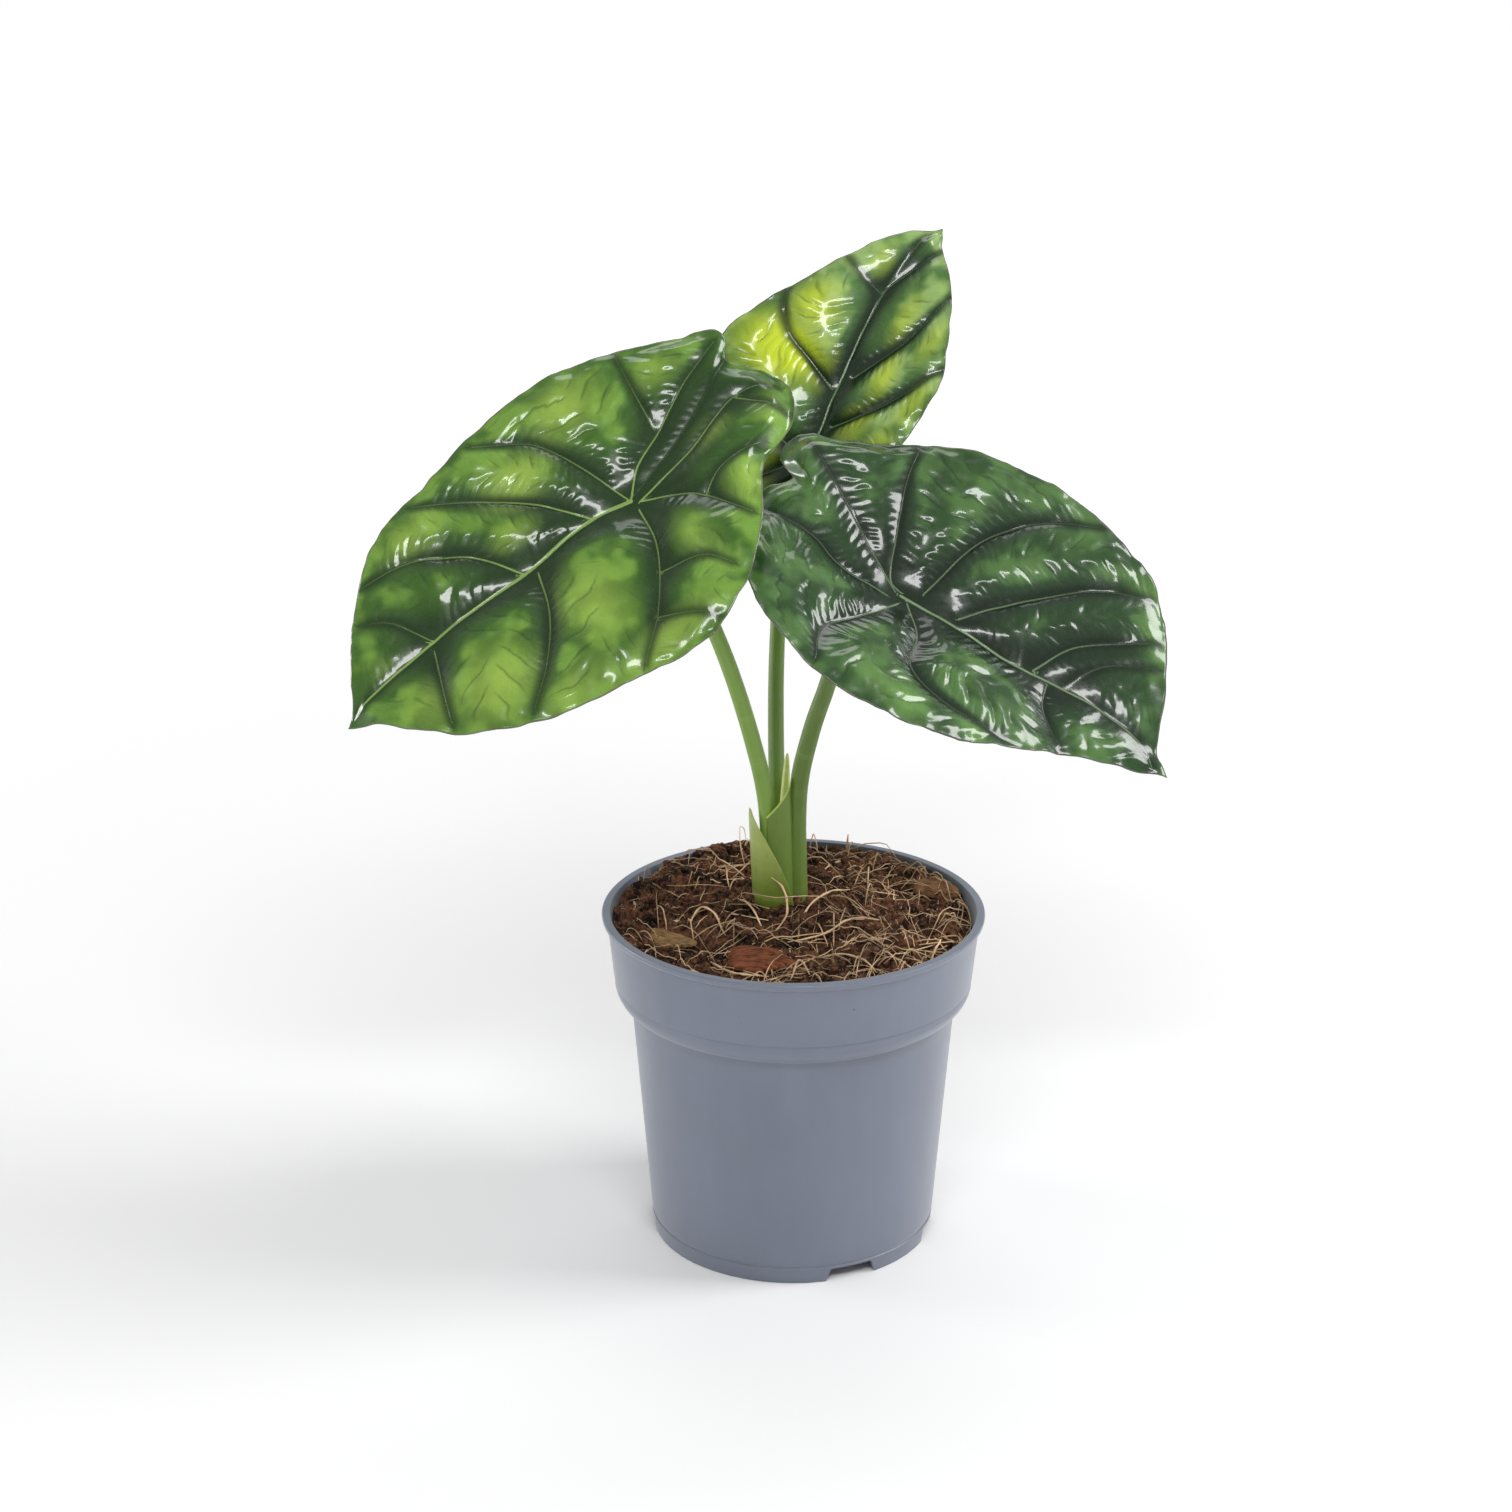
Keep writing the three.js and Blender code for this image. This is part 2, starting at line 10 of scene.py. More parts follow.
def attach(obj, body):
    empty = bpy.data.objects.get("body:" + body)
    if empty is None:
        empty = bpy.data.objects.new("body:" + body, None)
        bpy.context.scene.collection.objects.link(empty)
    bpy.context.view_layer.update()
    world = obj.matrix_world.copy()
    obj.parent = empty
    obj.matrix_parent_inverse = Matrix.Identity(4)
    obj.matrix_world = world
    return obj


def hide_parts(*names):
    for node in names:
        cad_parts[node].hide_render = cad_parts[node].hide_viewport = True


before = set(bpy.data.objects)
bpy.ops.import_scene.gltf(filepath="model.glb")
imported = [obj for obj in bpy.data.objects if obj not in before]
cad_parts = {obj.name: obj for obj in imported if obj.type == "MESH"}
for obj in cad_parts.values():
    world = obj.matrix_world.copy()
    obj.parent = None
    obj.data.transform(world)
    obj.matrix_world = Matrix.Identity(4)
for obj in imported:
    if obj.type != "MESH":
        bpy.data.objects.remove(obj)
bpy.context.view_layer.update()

bl_info = {
    "name": "Potted alocasia",
    "version": (1, 0, 0),
    "blender": (4, 5, 0),
    "location": "View3D > Sidebar > Alocasia",
    "description": "A young alocasia with quilted leaves in a nursery pot",
    "category": "Object",
}

MM = 0.001

# ---- Sizes of the part, in millimetres, as its CAD source names them ----
POT_HEIGHT = 108
RIM_RADIUS = 60
BASE_RADIUS = 44.7
WALL = 1.3
BAND_HEIGHT = 22
BAND_DRAFT = 2.3
SHOULDER_STEP = 5.2
SHOULDER_HEIGHT = 7
LIP_WIDTH = 1.4
LIP_HEIGHT = 2.6
FLOOR_LIFT = 5
FOOT_PAD_RADIUS = 11
DRAIN_HOLES = 8
DRAIN_HOLE_RADIUS = 3.5
DRAIN_CIRCLE_RADIUS = 28
NOTCH_ANGLES = (24, 77, 130, 201, 273)
NOTCH_WIDTH = 17
NOTCH_HEIGHT = 4.4
NOTCH_SLANT = 1.8
FIT = 0.3
HEADSPACE = 5.5
MOUND = 4.5
MOUND_SPREAD = 24
RUFFLE = 0.9
BACK_RISE = 0.045
STEM = (-3.4, 11.0)
CORM_DEPTH = 3
BLADE_THICKNESS = 1.2
APPROACH = 12
SHEATH_THICKNESS = 1.1
SHEATH_RADIUS = 9.5
SHEATH_HEIGHT = 33
SHEATH_LEAN = 2

MIX_LEVEL = POT_HEIGHT - HEADSPACE
CORM_TOP = MIX_LEVEL + MOUND - CORM_DEPTH
SHEATH_ROOM = SHEATH_RADIUS - SHEATH_THICKNESS
BAND_FOOT = POT_HEIGHT - BAND_HEIGHT
SHOULDER_FOOT = BAND_FOOT - SHOULDER_HEIGHT
BAND_TOP_RADIUS = RIM_RADIUS - LIP_WIDTH
BAND_FOOT_RADIUS = BAND_TOP_RADIUS - BAND_DRAFT
WALL_TOP_RADIUS = BAND_FOOT_RADIUS - SHOULDER_STEP

# Places are measured from the stem's middle, and heights up from the mix's level. Feet, necks and
# foot radii are in shares of the sheath's inside radius. A stalk's colours are the settings' ones,
# darkened at its foot and at its top, with paler streaks.
STALKS = {
    "left": {
        "foot": (-0.405, -0.429), "top": 2.3, "base": 0.345, "neck": (-0.619, -0.571, 39),
        "darken": (1, 1), "streak": (150, 178, 92), "slot": "stalk",
        "route": [(-9.4, -7.6, 60), (-17.1, -11.8, 87), (-24.6, -14, 106), (-35.6, -15, 126)],
    },
    "back": {
        "foot": (-0.024, 0.738), "top": 2.3, "base": 0.333, "neck": (-0.238, 1.071, 54),
        "darken": (0.75, 0.7), "streak": (118, 140, 92), "slot": "stalk",
        "route": [(-1.6, 16, 86), (0.9, 30, 115)],
    },
    "right": {
        "foot": (0.571, -0.071), "top": 2.4, "base": 0.393, "neck": (0.595, -0.286, 42),
        "darken": (0.62, 0.6), "streak": (140, 164, 96), "slot": "stalk_dark",
        "route": [(8.3, -5, 60), (12.3, -7.5, 74), (18.4, -9, 90)],
    },
}
WING_TOP = MIX_LEVEL + 47
SHOOT = {"foot": (-0.012, 0.143), "tip": (0.179, 0.381), "radius": 0.179, "height": 52}

# How far a blade curls down across its width and towards its tip.
ARCH = 0.0014
DROOP = 0.0010
# Outlines and veins lie in each blade's own plane, as (towards the tip, across). A vein is
# (points, half its pale line's width, how deep its valley is as a share of the deepest). A blade's
# fold is its slope on both sides of the midrib, pucker the height of its creases, valley the width
# of its valleys as a share of the setting, and nib how far its tip is drawn out.
# In a blade's shades, valley is painted shade along the veins and in the creases and grooves, crest
# and glow are painted light on the raised pillows, and sheen is a painted reflection beside the
# veins, partly the leaf's own silvery sheen.
BLADES = {
    "left": {
        "at": (-45.6, -27, 143.2), "tipward": (-0.77, -0.38, -0.51), "face": (-0.13, -0.68, 0.71),
        "fold": 0.14, "pucker": 0.6, "valley": 1.0, "nib": 3.0, "slot": "leaf_mid",
        "shades": {"valley": (22, 52, 8), "body": (62, 104, 28), "crest": (112, 154, 56),
                   "glow": (156, 188, 76), "sheen": (150, 166, 150), "line": (136, 168, 88)},
        "outline": [
            (103, -3), (86, -26), (64, -42), (40, -46), (10, -49.5), (-14, -46.5), (-38, -37),
            (-52, -30), (-55.5, -24.5), (-51, -18), (-58, -9), (-60, 1), (-53, 10), (-39, 16),
            (-22, 36), (-4, 49), (15, 54), (40, 48.5), (62, 41), (82, 27),
        ],
        "veins": {
            "midrib": ([(0, 0), (12, -3), (38, -3), (71, -5), (101, -4)], 0.62, 1.0),
            "u0": ([(0, 0), (5, -20), (11, -34), (25, -45)], 0.24, 0.85),
            "u1": ([(12, -3), (23, -19), (39, -34), (50, -42)], 0.28, 0.9),
            "u2": ([(38, -3), (46, -17), (60, -28), (77, -33)], 0.28, 0.9),
            "u3": ([(71, -5), (77, -18), (84, -24)], 0.2, 0.7),
            "p1": ([(0, 0), (-8, -7), (-20, -12), (-38, -20), (-51, -24)], 0.28, 0.8),
            "p1b": ([(-20, -14), (-24, -32), (-26, -40)], 0.2, 0.6),
            "fold": ([(-2, -1), (-22, -6), (-40, -13), (-50, -18)], 0.1, 0.8),
            "p2": ([(-2, 2), (-23, -1), (-45, -6), (-57, -2)], 0.28, 0.8),
            "p2b": ([(-45, -5), (-51, 3), (-55, 9)], 0.2, 0.55),
            "r": ([(-2, 2), (-11, 8), (-17, 15), (-23, 30)], 0.26, 0.85),
            "rb": ([(-17, 15), (-26, 11), (-41, 12)], 0.2, 0.5),
            "l1": ([(0, 4), (3, 16), (9, 26), (18, 37), (31, 48)], 0.24, 0.95),
            "l1b": ([(9, 26), (-4, 32), (-8, 40)], 0.2, 0.55),
            "l1c": ([(19, 38), (10, 45), (6, 50)], 0.18, 0.45),
            "m1": ([(35, 0), (40, 12), (49, 24), (63, 36)], 0.24, 0.95),
            "m2": ([(73, -2), (78, 9), (83, 21)], 0.2, 0.7),
        },
    },
    "right": {
        "at": (35.7, -21, 112.4), "tipward": (0.80, -0.33, -0.50), "face": (0.25, -0.60, 0.75),
        "fold": 0.30, "pucker": 0.65, "valley": 1.0, "nib": 4.5, "slot": "leaf_dark",
        "shades": {"valley": (14, 34, 14), "body": (42, 74, 34), "crest": (78, 114, 58),
                   "glow": (112, 156, 74), "sheen": (128, 146, 136), "line": (120, 146, 104)},
        "outline": [
            (91.5, 6), (87, 1.5), (72, -9), (54, -26), (36, -40), (10, -48.5), (-14, -46),
            (-34, -36.5), (-48, -15), (-53.5, 2), (-49, 12), (-56.5, 17), (-57, 25), (-46, 32),
            (-30, 41), (-10, 52), (18, 59), (42, 57.5), (62, 50.5), (78, 31),
        ],
        "veins": {
            "midrib": ([(0, 0), (17, 2), (38, 4), (55, 8), (69, 10), (86, 9), (90, 6)], 0.42, 1.0),
            "u0": ([(5, 5), (9, 30), (20, 46), (35, 57)], 0.22, 0.85),
            "u1": ([(18, 5), (24, 14), (35, 28), (43, 37), (60, 48)], 0.24, 0.9),
            "u2": ([(45, 7), (51, 21), (70, 38)], 0.24, 0.85),
            "u3": ([(55, 8), (61, 21), (74, 31)], 0.18, 0.5),
            "p1": ([(-1, 1), (-5, 2), (-12, 14), (-21, 32), (-24, 43)], 0.22, 0.85),
            "p2": ([(-2, 0), (-23, 10), (-44, 20), (-54, 24)], 0.2, 0.75),
            "l0": ([(-3, -3), (-21, -5), (-32, -2), (-50, -6)], 0.22, 0.8),
            "l1": ([(1, -3), (-5, -19), (-10, -32), (-5, -45)], 0.24, 0.9),
            "l2": ([(3, -1), (12, -10), (17, -23), (29, -27), (51, -25)], 0.22, 0.85),
            "l3": ([(51, 5), (54, -2), (66, -12)], 0.2, 0.7),
        },
    },
    "back": {
        "at": (6.3, 29, 140.2), "tipward": (0.50, 0.35, 0.77), "face": (-0.28, -0.78, 0.56),
        "fold": 0.30, "pucker": 0.65, "valley": 0.72, "nib": 3.5, "slot": "leaf_bright",
        "shades": {"valley": (14, 40, 12), "body": (80, 122, 56), "crest": (148, 180, 104),
                   "glow": (196, 216, 36), "sheen": (136, 152, 140), "line": (110, 140, 92)},
        "outline": [
            (84, 4), (77, -5), (66, -15), (52, -23), (36, -29), (18, -28.5), (-2, -28),
            (-21, -26), (-36, -19), (-42, -8), (-34, 4), (-44, 13), (-44, 24), (-33, 36),
            (-14, 43), (5, 45), (27, 41), (49, 31), (68, 20), (81, 11),
        ],
        "veins": {
            "midrib": ([(0, 0), (12, 1), (22, 3), (58, 7), (82, 6)], 0.3, 1.0),
            "l1": ([(24, 5), (29, 16), (33, 25), (39, 30), (46, 33)], 0.2, 0.9),
            "l2": ([(58, 7), (60, 14), (63, 21)], 0.14, 0.2),
            "l0": ([(0, 2), (5, 18), (10, 32), (18, 41)], 0.2, 0.85),
            "r0": ([(13, -2), (28, -16), (44, -26)], 0.2, 0.9),
            "r1": ([(30, 1), (37, -3), (48, -9), (66, -14)], 0.18, 0.85),
            "r2": ([(61, 7), (68, 4), (79, -1)], 0.16, 0.7),
            "r3": ([(0, -2), (8, -14), (14, -27)], 0.2, 0.85),
            "p1": ([(-1, 2), (-16, 14), (-26, 27), (-32, 35)], 0.2, 0.8),
            "p2": ([(-2, -1), (-17, -12), (-30, -20)], 0.2, 0.8),
            "p3": ([(-2, 0), (-16, 2), (-32, 4)], 0.1, 0.7),
        },
    },
}
# Painted light: where a blade is painted lighter yellow-green, on its raised pillows where light
# falls and shines through it, as (towards the tip, across, reach along, reach across, how much).
GLOW = {
    "left": [
        (66, 22, 13, 12, 0.9), (50, 40, 14, 7, 0.6), (30, 22, 10, 14, 0.75), (20, 46, 16, 6, 0.8),
        (-6, 26, 7, 12, 0.45), (22, -27, 11, 8, 0.9), (56, -34, 12, 7, 0.6), (33, -14, 9, 5, 0.5),
        (-4, -36, 12, 9, 0.9), (-30, -2, 9, 5, 0.55), (-30, 22, 8, 9, 0.7), (-50, 4, 7, 7, 0.4),
        (84, 12, 9, 10, 0.55), (-32, -28, 9, 6, 0.55), (88, -8, 6, 8, 0.3),
    ],
    "right": [
        (20, -38, 13, 6, 0.75), (45, -31, 12, 5, 0.5), (72, 40, 9, 8, 0.55), (58, 50, 9, 6, 0.5),
        (0, -24, 7, 9, 0.22), (36, -16, 10, 5, 0.2), (30, 45, 10, 6, 0.28), (-8, 44, 10, 6, 0.2),
    ],
    "back": [
        (27, 24, 10, 13, 1.5), (4, 32, 10, 13, 1.6), (44, 22, 9, 8, 0.9), (-10, 22, 12, 12, 1.4),
        (16, -10, 8, 6, 0.6), (34, -10, 8, 4, 0.75), (54, -5, 10, 4, 0.55), (50, -18, 9, 4, 0.5),
        (10, -22, 9, 6, 0.75), (30, -24, 9, 4, 0.6), (-18, 34, 10, 6, 0.8), (68, 12, 7, 4, 0.4),
    ],
}

# Where a blade's margin rolls down, as (towards the tip, across, how wide, how far).
ROLLS = {
    "left": [(-58, -2, 14, 7), (-46, 14, 13, 6), (-44, -36, 12, 3), (104, -3, 5, 2.5)],
    "right": [(-57, 20, 14, 6), (-40, 38, 14, 5), (-52, -6, 12, 3), (93, 6, 5, -1.5)],
    "back": [(-44, 18, 12, 4), (86, 4, 6, 4)],
}

# A place on the mix is (direction seen from the stem in degrees, share of the way from the sheath
# to the wall), and a fibre's points have their height above the mix as well.
FIBRES = [
    [(-130, 0.68, 1), (-119.5, 0.7, 2), (-107.5, 0.79, 3.4), (-99, 0.912, 6.9),
     (-93.9, 1.015, 9.4)],
    [(-148.7, 0.52, 1), (-158.7, 0.388, 3.2), (-145.2, 0.342, 4), (-126.3, 0.384, 1.2)],
    [(176.3, 0.148, 1), (-139.7, 0.088, 3.4), (-106.2, 0.221, 1.2)],
    [(-96.2, 0.256, 1.2), (-85.3, 0.131, 4), (-90, 0.036, 9), (-107.5, 0.044, 13)],
    [(-77.6, 0.189, 1.2), (-55, 0.089, 3), (-11, 0.121, 4.6), (12.6, 0.29, 2)],
    [(-89.2, 0.338, 1.2), (-67.1, 0.341, 3.4), (-43.1, 0.351, 5), (-20.3, 0.473, 1.6)],
    [(-73.9, 0.481, 1), (-65.4, 0.556, 2.4), (-59.2, 0.661, 2.2), (-58.3, 0.771, 1)],
    [(-43.4, 0.914, 1), (-34.8, 0.872, 3.6), (-25.9, 0.842, 1.4)],
    [(60.6, 0.413, 0.9), (56.7, 0.621, 3.4), (53.2, 0.841, 1)],
    [(171.6, 0.947, 1), (-173.9, 0.862, 4), (-159.1, 0.827, 1.4)],
    [(-156.3, 0.86, 1), (-150, 0.884, 3.4), (-141.6, 0.875, 1.2)],
    [(-80.8, 0.743, 1), (-84.2, 0.669, 5), (-88, 0.763, 1.4)],
]
# A chip's curl is how far its middle line bends up, for each square millimetre of its length, and
# its shades are its light and dark colours.
HUSK_CHIPS = {
    "front": {"place": (-100.3, 0.636), "size": (21, 14, 3.2), "turn": -12, "lean": 7,
              "curl": -0.0072, "shades": [(158, 96, 66), (84, 44, 30)]},
    "left": {"place": (-141, 0.805), "size": (17, 9, 2.2), "turn": -35, "lean": 5,
             "curl": 0.012, "shades": [(176, 140, 96), (96, 66, 42)]},
    "right": {"place": (10.5, 1.012), "size": (15, 9, 4), "turn": -20, "lean": 6,
              "curl": -0.0072, "shades": [(150, 112, 78), (78, 50, 34)]},
}
GRAINS = [((-155.6, 0.576), 1.3), ((24.9, 0.997), 1.1)]


# ---- Curves and meshes ----
def centripetal(points, count):
    """A smooth curve through the points, sampled evenly along its length."""
    p = np.array(points, float)
    p = np.vstack([2 * p[0] - p[1], p, 2 * p[-1] - p[-2]])
    fine = []
    for i in range(1, len(p) - 2):
        a, b, c, d = p[i - 1:i + 3]
        t0 = 0.0
        t1 = t0 + math.sqrt(np.linalg.norm(b - a))
        t2 = t1 + math.sqrt(np.linalg.norm(c - b))
        t3 = t2 + math.sqrt(np.linalg.norm(d - c))
        t = np.linspace(t1, t2, 40, endpoint=False)[:, None]

        def blend(low, high, start, end, t=t):
            return (end - t) / (end - start) * low + (t - start) / (end - start) * high

        bc = blend(b, c, t1, t2)
        abc = blend(blend(a, b, t0, t1), bc, t0, t2)
        bcd = blend(bc, blend(c, d, t2, t3), t1, t3)
        fine.append(blend(abc, bcd, t1, t2))
    fine = np.vstack([*fine, p[-2]])
    along = np.concatenate([[0], np.cumsum(np.linalg.norm(np.diff(fine, axis=0), axis=1))])
    even = np.linspace(0, along[-1], count)
    return np.stack([np.interp(even, along, fine[:, k]) for k in range(p.shape[1])], axis=1)


def smoothstep(low, high, value):
    t = np.clip((value - low) / (high - low), 0, 1)
    return t * t * (3 - 2 * t)


def field_noise(points, size, seed=0.0, octaves=3):
    """Smooth noise, from -1 to 1, at many points, with features of the given size."""
    out = np.empty(len(points))
    shift = Vector((seed * 7.3, seed * 3.1, seed * 5.7))
    for i, p in enumerate(points):
        spot = Vector((p[0], p[1], p[2] if len(p) > 2 else 0.0)) / size + shift
        out[i] = noise.fractal(spot, 0.9, 2.1, octaves)
    return out


def ring_angles(sides):
    return np.arange(sides) * 2 * math.pi / sides


def loft_faces(rows, columns, closed=True):
    """Quads between loops that follow each other in one list of vertices."""
    faces = []
    for row in range(rows - 1):
        low, high = row * columns, (row + 1) * columns
        for i in range(columns if closed else columns - 1):
            j = (i + 1) % columns
            faces.append((low + i, low + j, high + j, high + i))
    return faces


def capped_faces(rows, sides):
    """A loft whose ends close on the two vertices that follow its loops."""
    faces = loft_faces(rows, sides)
    foot, crown, last = rows * sides, rows * sides + 1, (rows - 1) * sides
    for i in range(sides):
        j = (i + 1) % sides
        faces += [(foot, j, i), (crown, last + i, last + j)]
    return faces


def faces_inwards(vertices, faces):
    fan = [(face[0], face[k], face[k + 1]) for face in faces for k in range(1, len(face) - 1)]
    a, b, c = (vertices[corner] for corner in np.array(fan).T)
    return np.einsum("ij,ij->", a, np.cross(b, c)) < 0


def mesh_object(name, vertices, faces, materials, attributes=None, uv=None, slots=None, check=True):
    """A piece from millimetres, shaded smooth, with its faces turned outwards if it is closed."""
    vertices = np.asarray(vertices, float)
    if check and faces_inwards(vertices, faces):
        faces = [tuple(reversed(face)) for face in faces]
    mesh = bpy.data.meshes.new(name)
    mesh.from_pydata((vertices * MM).tolist(), [], faces)
    for key, values in (attributes or {}).items():
        layer = mesh.attributes.new(key, "FLOAT", "POINT")
        layer.data.foreach_set("value", np.asarray(values, np.float32))
    if uv is not None:
        layer = mesh.uv_layers.new(name="along")
        corners = np.empty(len(mesh.loops), np.int32)
        mesh.loops.foreach_get("vertex_index", corners)
        layer.data.foreach_set("uv", np.asarray(uv, np.float32)[corners].ravel())
    mesh.shade_smooth()
    for material in materials:
        mesh.materials.append(material)
    if slots is not None:
        mesh.polygons.foreach_set("material_index", slots)
    mesh.update()
    piece = bpy.data.objects.new(name, mesh)
    bpy.context.scene.collection.objects.link(piece)
    return piece


def finish_piece(piece, slot, *nodes):
    """The piece rides on the part's one body and stands for CAD nodes, which it hides; slot is not
    used.
    """
    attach(piece, "root")
    if nodes:
        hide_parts(*nodes)


RIB_SHARE = 0.025


def tube(path, radii, sides, oval=0.0, ribs=0):
    """Vertices, faces, how far along and round each vertex is, for a closed stem on a path."""
    path = np.asarray(path, float)
    rows = len(path)
    tangents = np.gradient(path, axis=0)
    tangents /= np.linalg.norm(tangents, axis=1)[:, None]
    side = np.cross(tangents[0], (0.0, 0.0, 1.0) if abs(tangents[0][2]) < 0.9 else (1.0, 0.0, 0.0))
    turns = ring_angles(sides)
    section = 1 + oval * np.cos(2 * turns) + (RIB_SHARE * np.cos(ribs * turns) if ribs else 0)
    loops = []
    for centre, tangent, radius in zip(path, tangents, radii):
        side = side - np.dot(side, tangent) * tangent
        side /= np.linalg.norm(side)
        round_it = (np.cos(turns)[:, None] * side
                    + np.sin(turns)[:, None] * np.cross(tangent, side))
        loops.append(centre + (radius * section)[:, None] * round_it)
    vertices = np.vstack([*loops, path[:1], path[-1:]])
    along = np.concatenate([np.repeat(np.arange(rows) / (rows - 1), sides), [0, 1]])
    around = np.concatenate([np.tile(turns / (2 * math.pi), rows), [0.5, 0.5]])
    return vertices, capped_faces(rows, sides), along, around


def turned(profile, sides):
    """Vertices and faces of a profile of [radius, height] turned about the upright axis. Points
    on the axis become one vertex."""
    vertices, faces, rows = [], [], []
    for radius, height in profile:
        turns = ring_angles(sides if radius > 1e-6 else 1)
        rows.append([len(vertices) + i for i in range(len(turns))])
        vertices.extend((radius * math.cos(t), radius * math.sin(t), height) for t in turns)
    for low, high in pairwise(rows):
        for i in range(sides):
            j = (i + 1) % sides
            if len(low) == 1:
                faces.append((low[0], high[j], high[i]))
            elif len(high) == 1:
                faces.append((low[i], low[j], high[0]))
            else:
                faces.append((low[i], low[j], high[j], high[i]))
    return np.array(vertices), faces


def from_stem(place):
    return np.array([STEM[0] + place[0], STEM[1] + place[1], MIX_LEVEL + place[2]])


def in_sheath(share, height):
    return np.array([STEM[0] + share[0] * SHEATH_ROOM, STEM[1] + share[1] * SHEATH_ROOM, height])


def band_inner_radius(height):
    return BAND_FOOT_RADIUS + BAND_DRAFT * (height - BAND_FOOT) / BAND_HEIGHT - WALL


MIX_RADIUS = band_inner_radius(MIX_LEVEL) - FIT - RUFFLE / 4


def mix_height(x, y):
    from_middle = np.hypot(x - STEM[0], y - STEM[1]) / MOUND_SPREAD
    ruffle = RUFFLE * np.sin(x / 5.5 + 0.6) * np.cos(y / 6.5)
    return MIX_LEVEL + BACK_RISE * y + MOUND * np.exp(-from_middle ** 2) + ruffle


def place_on_mix(place, reach=0.0):
    direction, share = place[:2]
    outward = np.array([math.cos(math.radians(direction)), math.sin(math.radians(direction))])
    stem = np.array(STEM)
    along = stem @ outward
    to_wall = math.sqrt(MIX_RADIUS ** 2 - stem @ stem + along ** 2) - along
    near, far = SHEATH_RADIUS + reach, to_wall - reach
    return stem + outward * (near + (far - near) * share)


# ---- Materials ----
class Value:
    """One output of a node tree, on which Python's arithmetic adds Math nodes."""

    def __init__(self, nodes, socket):
        self.nodes = nodes
        self.socket = socket

    def math(self, operation, *others):
        return self.nodes.node("Math", dict(enumerate((self, *others))), operation=operation)

    def __add__(self, other):
        return self.math("ADD", other)

    def __sub__(self, other):
        return self.math("SUBTRACT", other)

    def __mul__(self, other):
        return self.math("MULTIPLY", other)

    def __truediv__(self, other):
        return self.math("DIVIDE", other)

    def __pow__(self, other):
        return self.math("POWER", other)

    def __rsub__(self, other):
        return self.nodes.node("Math", {0: other, 1: self}, operation="SUBTRACT")

    __radd__ = __add__
    __rmul__ = __mul__

    def __abs__(self):
        return self.math("ABSOLUTE")

    def clamp(self, low=0.0, high=1.0):
        return self.nodes.node("Clamp", {0: self, 1: low, 2: high})

    def rise(self, low, high):
        """0 below low, 1 above high, and smooth between them."""
        return self.nodes.node("MapRange", {0: self, 1: low, 2: high, 3: 0.0, 4: 1.0},
                               interpolation_type="SMOOTHSTEP")

    def split(self, axis):
        return self.nodes.node("SeparateXYZ", {0: self}, output=axis)


class Nodes:
    """A node tree, made one call at a time."""

    def __init__(self, tree):
        self.tree = tree
        tree.nodes.clear()

    def node(self, kind, values=None, output=0, **settings):
        made = self.tree.nodes.new(kind if "Node" in kind else "ShaderNode" + kind)
        for key, setting in settings.items():
            setattr(made, key, setting)
        for key, value in (values or {}).items():
            if isinstance(value, Value):
                self.tree.links.new(value.socket, made.inputs[key])
            else:
                made.inputs[key].default_value = value
        return Value(self, made.outputs[output]) if made.outputs else None

    def vector(self, operation, *values):
        """Vector Math, whose second socket for a scale and whose output for a length differ."""
        sockets = (0, 3) if operation == "SCALE" else (0, 1)
        return self.node("VectorMath", dict(zip(sockets, values)), operation=operation,
                         output=1 if operation in ("LENGTH", "DISTANCE") else 0)


class Paint(Nodes):
    """A material's nodes."""

    def __init__(self, name):
        self.material = bpy.data.materials.new(name)
        self.material.use_nodes = True
        super().__init__(self.material.node_tree)

    def place(self, stretch=(1, 1, 1), turn=(0, 0, 0)):
        spot = self.node("TexCoord", output="Object")
        return self.node("Mapping", {"Vector": spot, "Scale": stretch, "Rotation": turn})

    def own_uv(self, stretch):
        spot = self.node("UVMap", uv_map="along")
        return self.node("Mapping", {"Vector": spot, "Scale": stretch})

    def attribute(self, name):
        return self.node("Attribute", output="Fac", attribute_name=name)

    def waves(self, phase):
        """0 at the bottom of each groove and 1 between two of them."""
        return abs((self.attribute(phase) * math.pi).math("SINE"))

    def noise(self, spot, scale, detail, roughness, distortion=0.0):
        return self.node("TexNoise", {"Vector": spot, "Scale": scale, "Detail": detail,
                                      "Roughness": roughness, "Distortion": distortion})

    def coats(self, colour, *coats):
        """The colour under coats of (how much, colour), one over the other."""
        for share, coat in coats:
            under, over = (c if isinstance(c, Value) else (*c, 1.0) for c in (colour, coat))
            colour = self.node("Mix", {0: share, 6: under, 7: over}, output=2, data_type="RGBA")
        return colour

    def bump(self, height, distance, strength=0.6):
        return self.node("Bump", {"Height": height, "Distance": distance, "Strength": strength})

    def finish(self, **sockets):
        names = {"Specular": "Specular IOR Level"}
        surface = self.node("BsdfPrincipled", {
            names.get(key, key.replace("_", " ")): value for key, value in sockets.items()})
        self.node("OutputMaterial", {"Surface": surface})
        return self.material


def rgb(red, green, blue):
    """A colour from its usual 0-255 values, as the linear one that a socket holds."""
    channel = [c / 255 for c in (red, green, blue)]
    return [c / 12.92 if c <= 0.04045 else ((c + 0.055) / 1.055) ** 2.4 for c in channel]


def shade(colour, by):
    return [min(1, c * by) for c in colour]


def from_vein(paint):
    """How far the nearest vein is. The signed distance is sharp at a vein but jumps halfway between
    two of them, so away from a vein the plain distance takes over."""
    return abs(paint.attribute("vein")).math("MAXIMUM", paint.attribute("away") - 0.8)


